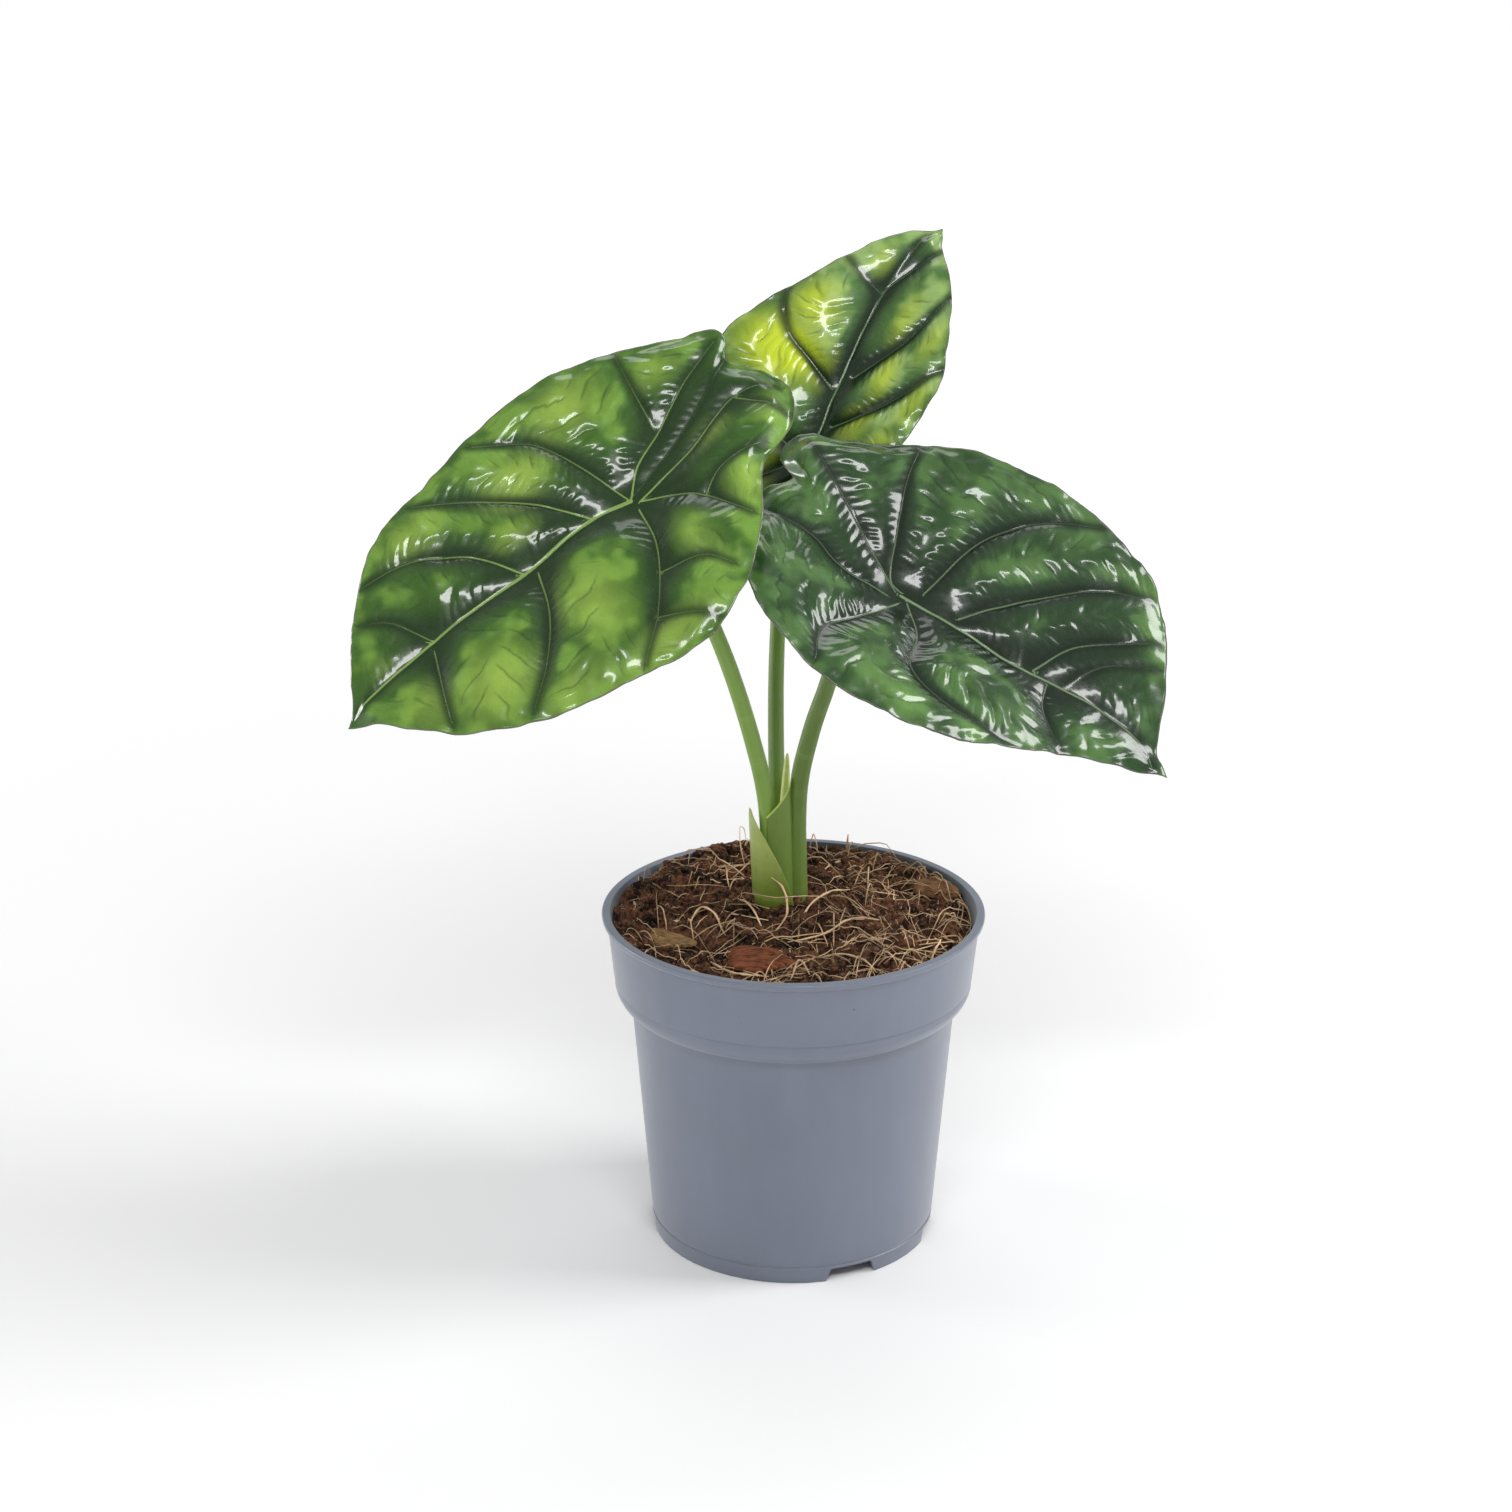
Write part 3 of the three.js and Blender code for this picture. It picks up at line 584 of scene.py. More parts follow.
def leaf_material(name, valley, body, crest, glow, sheen, line):
    paint = Paint(name)
    spot = paint.place()
    half, swell, rib_amount = (paint.attribute(key) for key in ("vein_half", "crest", "rib_amount"))
    beside = from_vein(paint) - half
    rib = paint.waves("rib_phase")
    blotch = paint.noise(spot, 85, 2, 0.5)
    fine = paint.noise(spot, 700, 3, 0.6)
    grain = paint.noise(spot, 2600, 2, 0.5)
    # Painted shade and light: the valley colour is painted shade along the veins, and the body and
    # crest colours are painted light on the raised pillows, with noise for random tone.
    lit = (swell.rise(0.26, 0.78) + (blotch - 0.5) * 0.6 + (fine - 0.5) * 0.1).clamp()
    # Painted light: glow paints lighter yellow-green patches on the raised pillows, where light
    # falls and shines through the blade.
    glowing = (paint.attribute("glow") * (0.65 + blotch * 0.7) - 0.1).clamp()
    crease = (1 - paint.waves("crease_phase").rise(0.0, 0.32)) * paint.attribute("crease_amount")
    on_vein = 1 - beside.rise(-0.1, 0.14)
    margin = 1 - paint.attribute("edge").rise(0.15, 0.5)
    colour = paint.coats(
        valley,
        (lit, body),
        ((lit.rise(0.6, 1.0) * blotch.rise(0.4, 0.62)).clamp(), crest),
        (glowing * swell.rise(0.12, 0.42), glow),
        # Painted shade in the creases and in the rib grooves.
        (crease * 0.42, valley),
        ((1 - rib.rise(0.0, 0.3)) * rib_amount * 0.32, valley),
        # Painted reflection: a grey sheen beside the veins, partly the leaf's own silvery sheen.
        ((paint.attribute("sheen") * (0.4 + fine * 0.6) * 0.05).clamp(), sheen),
        # Painted shade right beside each vein.
        ((1 - beside.rise(0.1, 3.0)) * 0.8, valley),
        (on_vein * half.rise(0.06, 0.3) * 0.9, line),
        (margin * 0.7, rgb(92, 84, 84)))
    relief = rib * rib_amount * 0.3 + fine * 0.12 + on_vein * 0.4 + grain * 0.03
    return paint.finish(
        Base_Color=colour, Roughness=0.28 + (fine - 0.5) * 0.12 + margin * 0.15,
        Normal=paint.bump(relief, 0.0005), Specular=0.3, Coat_Weight=0.8, Coat_Roughness=0.09,
        Coat_IOR=1.45)


def leaf_underside_material(name, body, rib_colour):
    paint = Paint(name)
    beside = from_vein(paint) - paint.attribute("vein_half")
    fine = paint.noise(paint.place(), 420, 4, 0.6)
    mark = (1 - paint.waves("rib_phase").rise(0.0, 0.35)) * paint.attribute("rib_amount")
    margin = 1 - paint.attribute("edge").rise(0.25, 0.7)
    colour = paint.coats(shade(body, 0.75), (fine, body), (mark * 0.4, rib_colour),
                         (1 - beside.rise(0.1, 0.9), rib_colour), (margin * 0.85, rgb(74, 66, 70)))
    return paint.finish(Base_Color=colour, Roughness=0.5 + fine * 0.15, Specular=0.35,
                        Normal=paint.bump(fine * 0.5 + mark * 0.5, 0.0003))


def stalk_material(name, low, high, streak):
    paint = Paint(name)
    strands = paint.noise(paint.own_uv((26, 1.6, 1)), 1, 4, 0.6)
    flecks = paint.noise(paint.place((1, 1, 0.35)), 520, 4, 0.6)
    height = (paint.attribute("along") + (strands - 0.5) * 0.12).rise(0.02, 0.34)
    colour = paint.coats(low, (height, high), (strands.rise(0.5, 0.72) * 0.5, streak),
                         (flecks.rise(0.58, 0.72) * 0.3, shade(low, 0.6)))
    return paint.finish(Base_Color=colour, Roughness=0.42 + flecks * 0.14, Specular=0.45,
                        Normal=paint.bump(strands * 0.7 + flecks * 0.3, 0.0004),
                        Coat_Weight=0.12, Coat_Roughness=0.3)


def pot_material(settings):
    paint = Paint("pot plastic")
    spot = paint.place()
    base = settings.colour
    cloud = paint.noise(spot, 22, 3, 0.5)
    grain = paint.noise(spot, 2400, 2, 0.6)
    flow = paint.noise(paint.place((1, 1, 0.16)), 130, 3, 0.6)
    speck = paint.node("TexVoronoi", {"Vector": spot, "Scale": 130.0}, feature="F1")
    height = spot.split("Z")
    rim_dirt = height.rise(0.07, 0.105) * (1 - speck.rise(0.05, 0.075)) * cloud.rise(0.42, 0.55)
    colour = paint.coats(
        shade(base, 0.93), ((cloud * 0.6 + flow * 0.4).rise(0.3, 0.7), shade(base, 1.06)),
        ((1 - height.rise(0.0, 0.012)) * flow * 0.5, shade(base, 0.72)),
        (rim_dirt * 0.7, rgb(70, 58, 52)))
    dullness = settings.roughness + (cloud - 0.5) * 0.12 + (grain - 0.5) * 0.08
    return paint.finish(Base_Color=colour, Roughness=dullness, Specular=0.65,
                        Normal=paint.bump(grain * 0.35 + flow * 0.25, 0.00012, 0.7),
                        Sheen_Weight=0.3, Sheen_Roughness=0.4)


def peat_material(settings, name="peat"):
    paint = Paint(name)
    spot = paint.place()
    lump = paint.noise(spot, 130, 5, 0.65)
    crumb = paint.noise(spot, 620, 5, 0.7)
    strands = paint.noise(paint.place((1, 0.22, 1), (0, 0, 0.6)), 900, 3, 0.6)
    other = paint.noise(paint.place((0.22, 1, 1), (0, 0, -0.4)), 900, 3, 0.6)
    colour = paint.coats(
        settings.peat_dark, ((lump * 0.5 + crumb * 0.5).rise(0.41, 0.63), settings.peat_light),
        ((strands.rise(0.6, 0.7) + other.rise(0.61, 0.7)).clamp() * 0.45,
         shade(settings.fibre_colour, 0.6)))
    return paint.finish(Base_Color=colour, Roughness=0.86 + crumb * 0.12, Specular=0.2,
                        Normal=paint.bump(lump * 0.5 + crumb + strands * 0.4, 0.0016, 1.0))


def fibre_material(name, pale, dark):
    paint = Paint(name)
    spot = paint.place()
    tone = paint.noise(spot, 75, 2, 0.5)
    fleck = paint.noise(spot, 1500, 3, 0.6)
    colour = paint.coats(dark, ((tone.rise(0.38, 0.62) * 0.8 + fleck * 0.3).clamp(), pale))
    return paint.finish(Base_Color=colour, Roughness=0.72 + fleck * 0.2, Specular=0.3,
                        Normal=paint.bump(fleck, 0.0002, 0.5))


def husk_material(name, light, dark):
    paint = Paint(name)
    hairs = paint.noise(paint.own_uv((3, 26, 1)), 1, 5, 0.65, 0.4)
    lump = paint.noise(paint.place(), 330, 4, 0.6)
    colour = paint.coats(dark, ((hairs * 0.75 + lump * 0.35).rise(0.4, 0.68), light))
    return paint.finish(Base_Color=colour, Roughness=0.8 + hairs * 0.15, Specular=0.2,
                        Normal=paint.bump(hairs + lump * 0.6, 0.0009, 1.0))


def floor_material(settings):
    """A pale floor that glows a little away from the plant, so that it meets the pale backdrop."""
    paint = Paint("studio floor")
    spot = paint.place()
    base = settings.floor_colour
    colour = paint.coats(shade(base, 0.985), (paint.noise(spot, 3, 2, 0.5), base))
    glow = paint.coats((0, 0, 0), (paint.vector("LENGTH", spot).rise(0.1, 2.0), (0.6, 0.6, 0.6)))
    return paint.finish(Base_Color=colour, Roughness=0.9, Specular=0.1, Emission_Color=glow,
                        Emission_Strength=1.0)


# ---- Settings ----
def colour_setting(name, description, default):
    return FloatVectorProperty(name=name, description=description, subtype="COLOR", size=3,
                               min=0, max=1, default=default)


def length_setting(name, description, default):
    return FloatProperty(name=name, description=description, unit="LENGTH", default=default)


def power_setting(name, description, default):
    return FloatProperty(name=name, description=description, unit="POWER", default=default)


def count_setting(name, description, default):
    return IntProperty(name=name, description=description, default=default, min=12)


class PotSettings(bpy.types.PropertyGroup):
    sides: count_setting("Sides", "Facets round the pot", 240)
    colour: colour_setting("Plastic", "Colour of the moulded plastic", rgb(110, 117, 133))
    roughness: FloatProperty(
        name="Roughness", description="How dull the plastic is", subtype="FACTOR", min=0, max=1,
        default=0.4)


class MixSettings(bpy.types.PropertyGroup):
    lump_height: length_setting("Lump height", "How far lumps stand up from the mix", 0.0032)
    fibre_density: FloatProperty(
        name="Fibre density", description="Loose coir fibres for each square metre", default=34000)
    fibre_length: length_setting("Fibre length", "Length of the longest loose fibre", 0.031)
    fibre_radius: length_setting("Fibre radius", "Radius of a loose fibre's thickest part", 0.00021)
    crumb_density: FloatProperty(
        name="Crumb density", description="Crumbs of peat for each square metre", default=260000)
    crumb_size: length_setting("Crumb size", "Radius of the largest crumb", 0.0026)
    seed: IntProperty(name="Seed", description="Chooses where fibres and crumbs fall", default=7)
    peat_dark: colour_setting("Dark peat", "Colour of the mix in its hollows", rgb(25, 15, 11))
    peat_light: colour_setting("Light peat", "Colour of the mix on its lumps", rgb(134, 90, 66))
    fibre_colour: colour_setting("Coir", "Colour of the pale fibres", rgb(238, 202, 162))


class BladeSettings(bpy.types.PropertyGroup):
    spokes: count_setting("Spokes", "Points round a blade's margin", 420)
    rings: count_setting("Rings", "Rings from the stalk to the margin", 90)
    quilt_depth: length_setting("Quilt depth", "How far a blade swells between its veins", 0.0054)
    valley_width: length_setting("Valley width", "How wide the valley along a vein is", 0.0062)
    rib_depth: length_setting("Rib depth", "Depth of the fine grooves beside the veins", 0.0003)
    rib_spacing: length_setting("Rib spacing", "Distance between those grooves", 0.0029)


class StalkSettings(bpy.types.PropertyGroup):
    sides: count_setting("Sides", "Facets round a stalk", 28)
    low: colour_setting("Foot", "Colour of the stalks near the mix", rgb(136, 168, 74))
    high: colour_setting("Top", "Colour of the stalks near the blades", rgb(126, 160, 70))


class StageSettings(bpy.types.PropertyGroup):
    floor_colour: colour_setting("Floor", "Colour of the studio floor", (0.95, 0.95, 0.952))
    key_power: power_setting("Key light", "Power of the long light in front", 12.0)
    side_power: power_setting("Side light", "Power of the light from the right", 21.0)
    top_power: power_setting("Top light", "Power of the light above", 6.0)
    lens: FloatProperty(name="Lens", description="Focal length for a 36 mm sensor", default=77.3)


# ---- Pot ----
def shoulder_curve(inset, lift, steps):
    points = []
    for step in steps:
        angle = step * math.pi / 2
        points.append((WALL_TOP_RADIUS - inset + SHOULDER_STEP * math.sin(angle),
                       SHOULDER_FOOT + lift + SHOULDER_HEIGHT * (1 - math.cos(angle))))
    return points


def wall_radius(height):
    return BASE_RADIUS + (WALL_TOP_RADIUS - BASE_RADIUS) * height / SHOULDER_FOOT


def inner_wall(gap, steps):
    floor_top = FLOOR_LIFT + WALL
    return [(wall_radius(floor_top) - WALL - gap, floor_top + gap),
            (WALL_TOP_RADIUS - WALL - gap, SHOULDER_FOOT + WALL),
            *shoulder_curve(WALL + gap, WALL, steps)]


def rounded(corner, before, after, radius, steps=4):
    """Points of a small round in place of a profile's corner."""
    corner, before, after = (np.array(p, float) for p in (corner, before, after))
    start = corner + (before - corner) / np.linalg.norm(before - corner) * radius
    end = corner + (after - corner) / np.linalg.norm(after - corner) * radius
    out = []
    for t in np.linspace(0, 1, steps + 1):
        out.append(tuple((1 - t) ** 2 * start + 2 * t * (1 - t) * corner + t * t * end))
    return out


def pot_profile():
    steps = np.linspace(0.08, 1, 12)
    lip_foot = POT_HEIGHT - LIP_HEIGHT
    seam = 5.4
    outside = [
        (0, 0), (FOOT_PAD_RADIUS - 1, 0), (FOOT_PAD_RADIUS, FLOOR_LIFT),
        (wall_radius(FLOOR_LIFT) - WALL - 1, FLOOR_LIFT),
        (BASE_RADIUS - WALL, 0.6), (BASE_RADIUS - WALL + 0.15, 0), (BASE_RADIUS - 0.4, 0),
        *rounded((BASE_RADIUS, 0), (BASE_RADIUS - 1, 0), (wall_radius(1), 1), 0.4),
        (wall_radius(seam - 0.5), seam - 0.5), (wall_radius(seam - 0.35), seam - 0.35),
        (wall_radius(seam) - 0.3, seam - 0.1), (wall_radius(seam) - 0.3, seam + 0.15),
        (wall_radius(seam + 0.8) - 0.05, seam + 0.6), (wall_radius(seam + 2), seam + 2),
    ]
    for height in np.linspace(12, SHOULDER_FOOT - 2, 12):
        outside.append((wall_radius(height), height))
    outside += shoulder_curve(0, 0, steps)[:-2]
    outside += rounded((BAND_FOOT_RADIUS, BAND_FOOT), (BAND_FOOT_RADIUS - 1, BAND_FOOT - 0.2),
                       (BAND_FOOT_RADIUS, BAND_FOOT + 1), 0.45)
    for height in np.linspace(BAND_FOOT + 2, lip_foot - 1, 6):
        outside.append((BAND_FOOT_RADIUS + BAND_DRAFT * (height - BAND_FOOT) / BAND_HEIGHT, height))
    outside += [(BAND_TOP_RADIUS, lip_foot), (BAND_TOP_RADIUS + 0.45, lip_foot + 0.25)]
    lip = LIP_WIDTH / 2
    for turn in np.linspace(-0.9, 1, 12):
        angle = turn * math.pi / 2
        outside.append((RIM_RADIUS - lip + lip * math.cos(angle) ** 0.7,
                        POT_HEIGHT - lip + lip * math.sin(angle) + 0.6 * min(turn, 0)))
    inside_top = band_inner_radius(POT_HEIGHT)
    outside += rounded((inside_top, POT_HEIGHT), (RIM_RADIUS - lip, POT_HEIGHT),
                       (inside_top, POT_HEIGHT - 1), 0.35)
    for height in np.linspace(POT_HEIGHT - 2, BAND_FOOT + 4, 6):
        outside.append((band_inner_radius(height), height))
    return outside + inner_wall(0, steps)[::-1] + [(0, FLOOR_LIFT + WALL)]


def cutter_object(name, vertices, faces):
    return mesh_object(name, vertices, faces, [])


def notch_cutter(angle):
    half, depth = NOTCH_WIDTH / 2, 12
    face = [(-half - 0.3, -1), (half + 0.3, -1), (half - NOTCH_SLANT + 0.4, NOTCH_HEIGHT - 0.4),
            (half - NOTCH_SLANT, NOTCH_HEIGHT), (NOTCH_SLANT - half, NOTCH_HEIGHT),
            (NOTCH_SLANT - half - 0.4, NOTCH_HEIGHT - 0.4)]
    count = len(face)
    turn = math.radians(angle)
    vertices = []
    for distance in (BASE_RADIUS - depth / 2, BASE_RADIUS + depth / 2):
        for x, z in face:
            vertices.append((x * math.cos(turn) + distance * math.sin(turn),
                             x * math.sin(turn) - distance * math.cos(turn), z))
    faces = [tuple(range(count)), tuple(reversed(range(count, 2 * count)))]
    faces += [(i, count + i, count + (i + 1) % count, (i + 1) % count) for i in range(count)]
    return cutter_object("notch cutter", vertices, faces)


def drain_cutter(angle):
    turns = np.arange(32) * 2 * math.pi / 32
    x, y = DRAIN_CIRCLE_RADIUS * math.cos(angle), DRAIN_CIRCLE_RADIUS * math.sin(angle)
    middle = FLOOR_LIFT + WALL / 2
    vertices = [(x + DRAIN_HOLE_RADIUS * math.cos(t), y + DRAIN_HOLE_RADIUS * math.sin(t), z)
                for z in (middle - 2 * WALL, middle + 2 * WALL) for t in turns]
    faces = [tuple(reversed(range(32))), tuple(range(32, 64))]
    faces += [(i, (i + 1) % 32, 32 + (i + 1) % 32, 32 + i) for i in range(32)]
    return cutter_object("drain cutter", vertices, faces)


def plain_mesh(piece):
    """Replaces the piece's mesh with what its modifiers make of it, and removes them."""
    graph = bpy.context.evaluated_depsgraph_get()
    shape = bpy.data.meshes.new_from_object(piece.evaluated_get(graph))
    piece.modifiers.clear()
    shape.name = piece.name
    shape.shade_smooth()
    piece.data = shape


class ALOCASIA_OT_pot(bpy.types.Operator):
    """Turn the pot's profile, and cut its foot's notches and its drain holes"""
    bl_idname = "alocasia.pot"
    bl_label = "Pot"

    def execute(self, context):
        settings = context.scene.alocasia_pot
        vertices, faces = turned(pot_profile(), settings.sides)
        pot = mesh_object("nursery_pot", vertices, faces, [pot_material(settings)])
        cutters = [notch_cutter(angle) for angle in NOTCH_ANGLES]
        cutters += [drain_cutter(angle) for angle in ring_angles(DRAIN_HOLES)]
        for cut_by in cutters:
            cut = pot.modifiers.new(cut_by.name, "BOOLEAN")
            cut.operation = "DIFFERENCE"
            cut.solver = "EXACT"
            cut.object = cut_by
        plain_mesh(pot)
        for cut_by in cutters:
            bpy.data.objects.remove(cut_by)
        pot.data.set_sharp_from_angle(angle=math.radians(32))
        finish_piece(pot, "pot_plastic", "pot")
        return {"FINISHED"}


# ---- Growing mix ----
def lumps(points, height):
    """How far the mix's surface stands above its level shape, in millimetres."""
    big = field_noise(points, 11.0, 1.0, 3)
    small = field_noise(points, 4.2, 2.0, 4)
    tiny = field_noise(points, 1.7, 3.0, 3)
    return height * (0.75 * big + 0.55 * (1 - 2 * np.abs(small)) - 0.02 + 0.3 * tiny)


def mix_surface(rings, spokes, lump_height):
    """Rings of points from the wall inwards, over the lumpy top of the mix."""
    share = np.repeat(np.linspace(1, 0, rings, endpoint=False), spokes)
    around = np.tile(ring_angles(spokes), rings)
    x, y = ((MIX_RADIUS + 0.25) * share * turn(around) for turn in (np.cos, np.sin))
    rough = lumps(np.stack([x, y], axis=1), lump_height)
    dip = 1.6 * smoothstep(0.95, 1.0, share) * (0.6 + 0.5 * np.sin(around * 5 + 1))
    dip -= 1.3 * smoothstep(0.55, 0.9, share) * (1 + np.cos(around - math.radians(140)))
    calm = 1 - 0.6 * np.exp(-((np.hypot(x - STEM[0], y - STEM[1]) / 13) ** 4))
    return np.column_stack([x, y, mix_height(x, y) + rough * calm - dip])


class ALOCASIA_OT_mix(bpy.types.Operator):
    """Fill the pot with peat and coir, lumpy on top"""
    bl_idname = "alocasia.mix"
    bl_label = "Growing mix"

    def execute(self, context):
        settings = context.scene.alocasia_mix
        rings, spokes = 78, 300
        turns = ring_angles(spokes)
        wall = [np.column_stack([radius * np.cos(turns), radius * np.sin(turns),
                                 np.full(spokes, height)])
                for radius, height in inner_wall(FIT, (0.2, 0.45, 0.7, 1))]
        top = mix_surface(rings, spokes, settings.lump_height / MM)
        vertices = np.vstack([*wall, top, (0, 0, wall[0][0][2]), (0, 0, mix_height(0.0, 0.0))])
        mix = mesh_object("peat_and_coir", vertices, capped_faces(len(wall) + rings, spokes),
                          [peat_material(settings)])
        finish_piece(mix, "peat", "growing_mix", "corm")
        return {"FINISHED"}


# ---- Geometry Nodes for what is strewn over the mix ----
class Tree(Nodes):
    """A node tree for geometry, whose inputs are a surface and the named numbers."""

    def __init__(self, name, *numbers):
        super().__init__(bpy.data.node_groups.new(name, "GeometryNodeTree"))
        sockets = self.tree.interface
        sockets.new_socket("Surface", in_out="INPUT", socket_type="NodeSocketGeometry")
        self.identifiers = {}
        for label in numbers:
            kind = "NodeSocketInt" if label == "Seed" else "NodeSocketFloat"
            socket = sockets.new_socket(label, in_out="INPUT", socket_type=kind)
            self.identifiers[label] = socket.identifier
        sockets.new_socket("Geometry", in_out="OUTPUT", socket_type="NodeSocketGeometry")
        self.inputs = self.tree.nodes.new("NodeGroupInput").outputs

    def given(self, label):
        return Value(self, self.inputs[label])

    def join(self, x, y, z):
        return self.node("CombineXYZ", {0: x, 1: y, 2: z})

    def chance(self, low, high, seed):
        """A random number for each point, or a random vector where low is one."""
        kind, first, output = ("FLOAT_VECTOR", 0, 0) if isinstance(low, tuple) else ("FLOAT", 2, 1)
        return self.node("FunctionNodeRandomValue", {first: low, first + 1: high, "Seed": seed},
                         output=output, data_type=kind)

    def finish(self, geometry, material):
        whole = self.node("GeometryNodeRealizeInstances", {0: geometry})
        painted = self.node("GeometryNodeSetMaterial", {"Geometry": whole, "Material": material})
        self.node("NodeGroupOutput", {0: painted})

    def run(self, name, vertices, faces, values, material):
        """The tree's result over a surface, as a plain mesh."""
        piece = mesh_object(name, vertices, faces, [material], check=False)
        strew = piece.modifiers.new(name, "NODES")
        strew.node_group = self.tree
        for label, value in values.items():
            strew[self.identifiers[label]] = value
        plain_mesh(piece)
        return piece


def strewn_surface(settings):
    rings, spokes = 46, 150
    top = mix_surface(rings, spokes, settings.lump_height / MM)
    return top, [tuple(reversed(face)) for face in loft_faces(rings, spokes)]


def fibre_tree(material):
    """Fibres of many lengths, bent by noise, kept off wall and sheath, and laid on the mix."""
    tree = Tree("coir fibres", "Density", "Length", "Radius", "Seed", "Wall radius")
    seed = tree.given("Seed")
    spot = tree.node("GeometryNodeInputPosition")
    stem = (STEM[0] * MM, STEM[1] * MM, 0)
    # They lie thicker towards the right, where the mix is drier, and few lie right against the
    # sheath, where they would only bend round it.
    dry = (spot.split("X") * 11.0 + 1.0).clamp(0.5, 1.6)
    foot = tree.vector("DISTANCE", spot, (*stem[:2], (MIX_LEVEL + MOUND) * MM))
    free = (foot * 110.0 - 1.4).clamp(0.1, 1.0)
    points = tree.node("GeometryNodeDistributePointsOnFaces", {
        "Mesh": tree.given(0), "Density": tree.given("Density") * (dry * free), "Seed": seed})
    line = tree.node("GeometryNodeCurvePrimitiveLine", {"Start": (-0.5, 0, 0), "End": (0.5, 0, 0)})
    line = tree.node("GeometryNodeResampleCurve", {"Curve": line, "Count": 11})
    turn = tree.join(tree.chance(-0.25, 0.25, seed + 1), tree.chance(-0.3, 0.3, seed + 2),
                     tree.chance(0.0, 6.283, seed + 3))
    spread = tree.chance(0.0, 1.0, seed + 4) ** 1.7
    strewn = tree.node("GeometryNodeInstanceOnPoints", {
        "Points": points, "Instance": line, "Rotation": turn,
        "Scale": tree.given("Length") * (spread * 0.8 + 0.2)})
    strewn = tree.node("GeometryNodeStoreNamedAttribute", {
        "Geometry": strewn, "Name": "luck", "Value": tree.chance(0.0, 1.0, seed + 5)},
        domain="INSTANCE")
    curves = tree.node("GeometryNodeRealizeInstances", {0: strewn})
    luck = tree.node("GeometryNodeInputNamedAttribute", {"Name": "luck"}, data_type="FLOAT")
    warp = tree.node("TexNoise", {"Vector": spot, "W": luck * 60, "Scale": 42.0, "Detail": 1.0},
                     output=1, noise_dimensions="4D")
    warp = tree.vector("SUBTRACT", warp, (0.5, 0.5, 0.5))
    moved = tree.vector("ADD", spot, tree.vector("MULTIPLY", warp, (0.0055, 0.0055, 0.0)))
    # Fibres that reach the wall turn along it, and those that reach the stem turn round it.
    flat = tree.vector("MULTIPLY", moved, (1, 1, 0))
    held = (tree.given("Wall radius") / tree.vector("LENGTH", flat)).math("MINIMUM", 1.0)
    aside = tree.vector("SUBTRACT", tree.vector("SCALE", flat, held), stem)
    clear = tree.vector("LENGTH", aside)
    push = ((luck * 0.005 + (SHEATH_RADIUS + 0.8) * MM) / clear).math("MAXIMUM", 1.0)
    flat = tree.vector("ADD", tree.vector("SCALE", aside, push), stem)
    below = tree.node("GeometryNodeRaycast", {
        "Target Geometry": tree.given(0), "Source Position": tree.vector("ADD", flat, (0, 0, 0.2)),
        "Ray Direction": (0, 0, -1.0), "Ray Length": 1.0}, output="Hit Position")
    away = clear / (MOUND_SPREAD * MM)
    mound = (away * away * -1.0).math("EXPONENT") * (MOUND * MM)
    level = flat.split("Y") * BACK_RISE + (MIX_LEVEL + 1.2) * MM
    ground = (below.split("Z") + 0.0002).math("MAXIMUM", mound + level)
    share = tree.node("GeometryNodeSplineParameter")
    lift = share * (1 - share) * (luck ** 4.0 * 0.022) + warp.split("Z") * 0.004
    curves = tree.node("GeometryNodeSetPosition", {
        "Geometry": curves, "Position": tree.join(flat.split("X"), flat.split("Y"), ground + lift)})
    taper = 1 - abs(share * 2.0 - 1.0) ** 4.0
    thick = (luck * 17.0).math("FRACT") * 0.75 + 0.3
    radius = tree.given("Radius") * (thick * (taper * 0.7 + 0.3))
    curves = tree.node("GeometryNodeSetCurveRadius", {"Curve": curves, "Radius": radius})
    ring = tree.node("GeometryNodeCurvePrimitiveCircle", {"Resolution": 4, "Radius": 1.0})
    mesh = tree.node("GeometryNodeCurveToMesh", {
        "Curve": curves, "Profile Curve": ring, "Fill Caps": True,
        "Scale": tree.node("GeometryNodeInputRadius")})
    tree.finish(mesh, material)
    return tree


def crumb_tree(material):
    """Crumbs of many sizes, each a small ball squashed and warped its own way."""
    tree = Tree("peat crumbs", "Density", "Size", "Seed", "Wall radius")
    seed = tree.given("Seed")
    spot = tree.node("GeometryNodeInputPosition")
    points = tree.node("GeometryNodeDistributePointsOnFaces", {
        "Mesh": tree.given(0), "Density": tree.given("Density"), "Seed": seed})
    reach = tree.vector("LENGTH", tree.vector("MULTIPLY", spot, (1, 1, 0)))
    too_far = tree.node("FunctionNodeCompare", {0: reach, 1: tree.given("Wall radius")},
                        data_type="FLOAT", operation="GREATER_THAN")
    points = tree.node("GeometryNodeDeleteGeometry", {"Geometry": points, "Selection": too_far})
    ball = tree.node("GeometryNodeMeshUVSphere", {"Segments": 7, "Rings": 5, "Radius": 1.0})
    turn = tree.chance((0, 0, 0), (6.283, 6.283, 6.283), seed + 1)
    shape = tree.chance((0.5, 0.45, 0.4), (1.0, 0.9, 0.75), seed + 2)
    spread = tree.chance(0.0, 1.0, seed + 3) ** 2.6
    strewn = tree.node("GeometryNodeInstanceOnPoints", {
        "Points": points, "Instance": ball, "Rotation": turn,
        "Scale": tree.vector("SCALE", shape, tree.given("Size") * (spread * 0.82 + 0.18))})
    whole = tree.node("GeometryNodeRealizeInstances", {0: strewn})
    warp = tree.node("TexNoise", {"Vector": spot, "Scale": 640.0, "Detail": 1.0}, output=1)
    warp = tree.vector("MULTIPLY", tree.vector("SUBTRACT", warp, (0.5, 0.5, 0.5)),
                       (0.0018, 0.0018, 0.0014))
    whole = tree.node("GeometryNodeSetPosition", {"Geometry": whole, "Offset": warp})
    tree.finish(whole, material)
    return tree


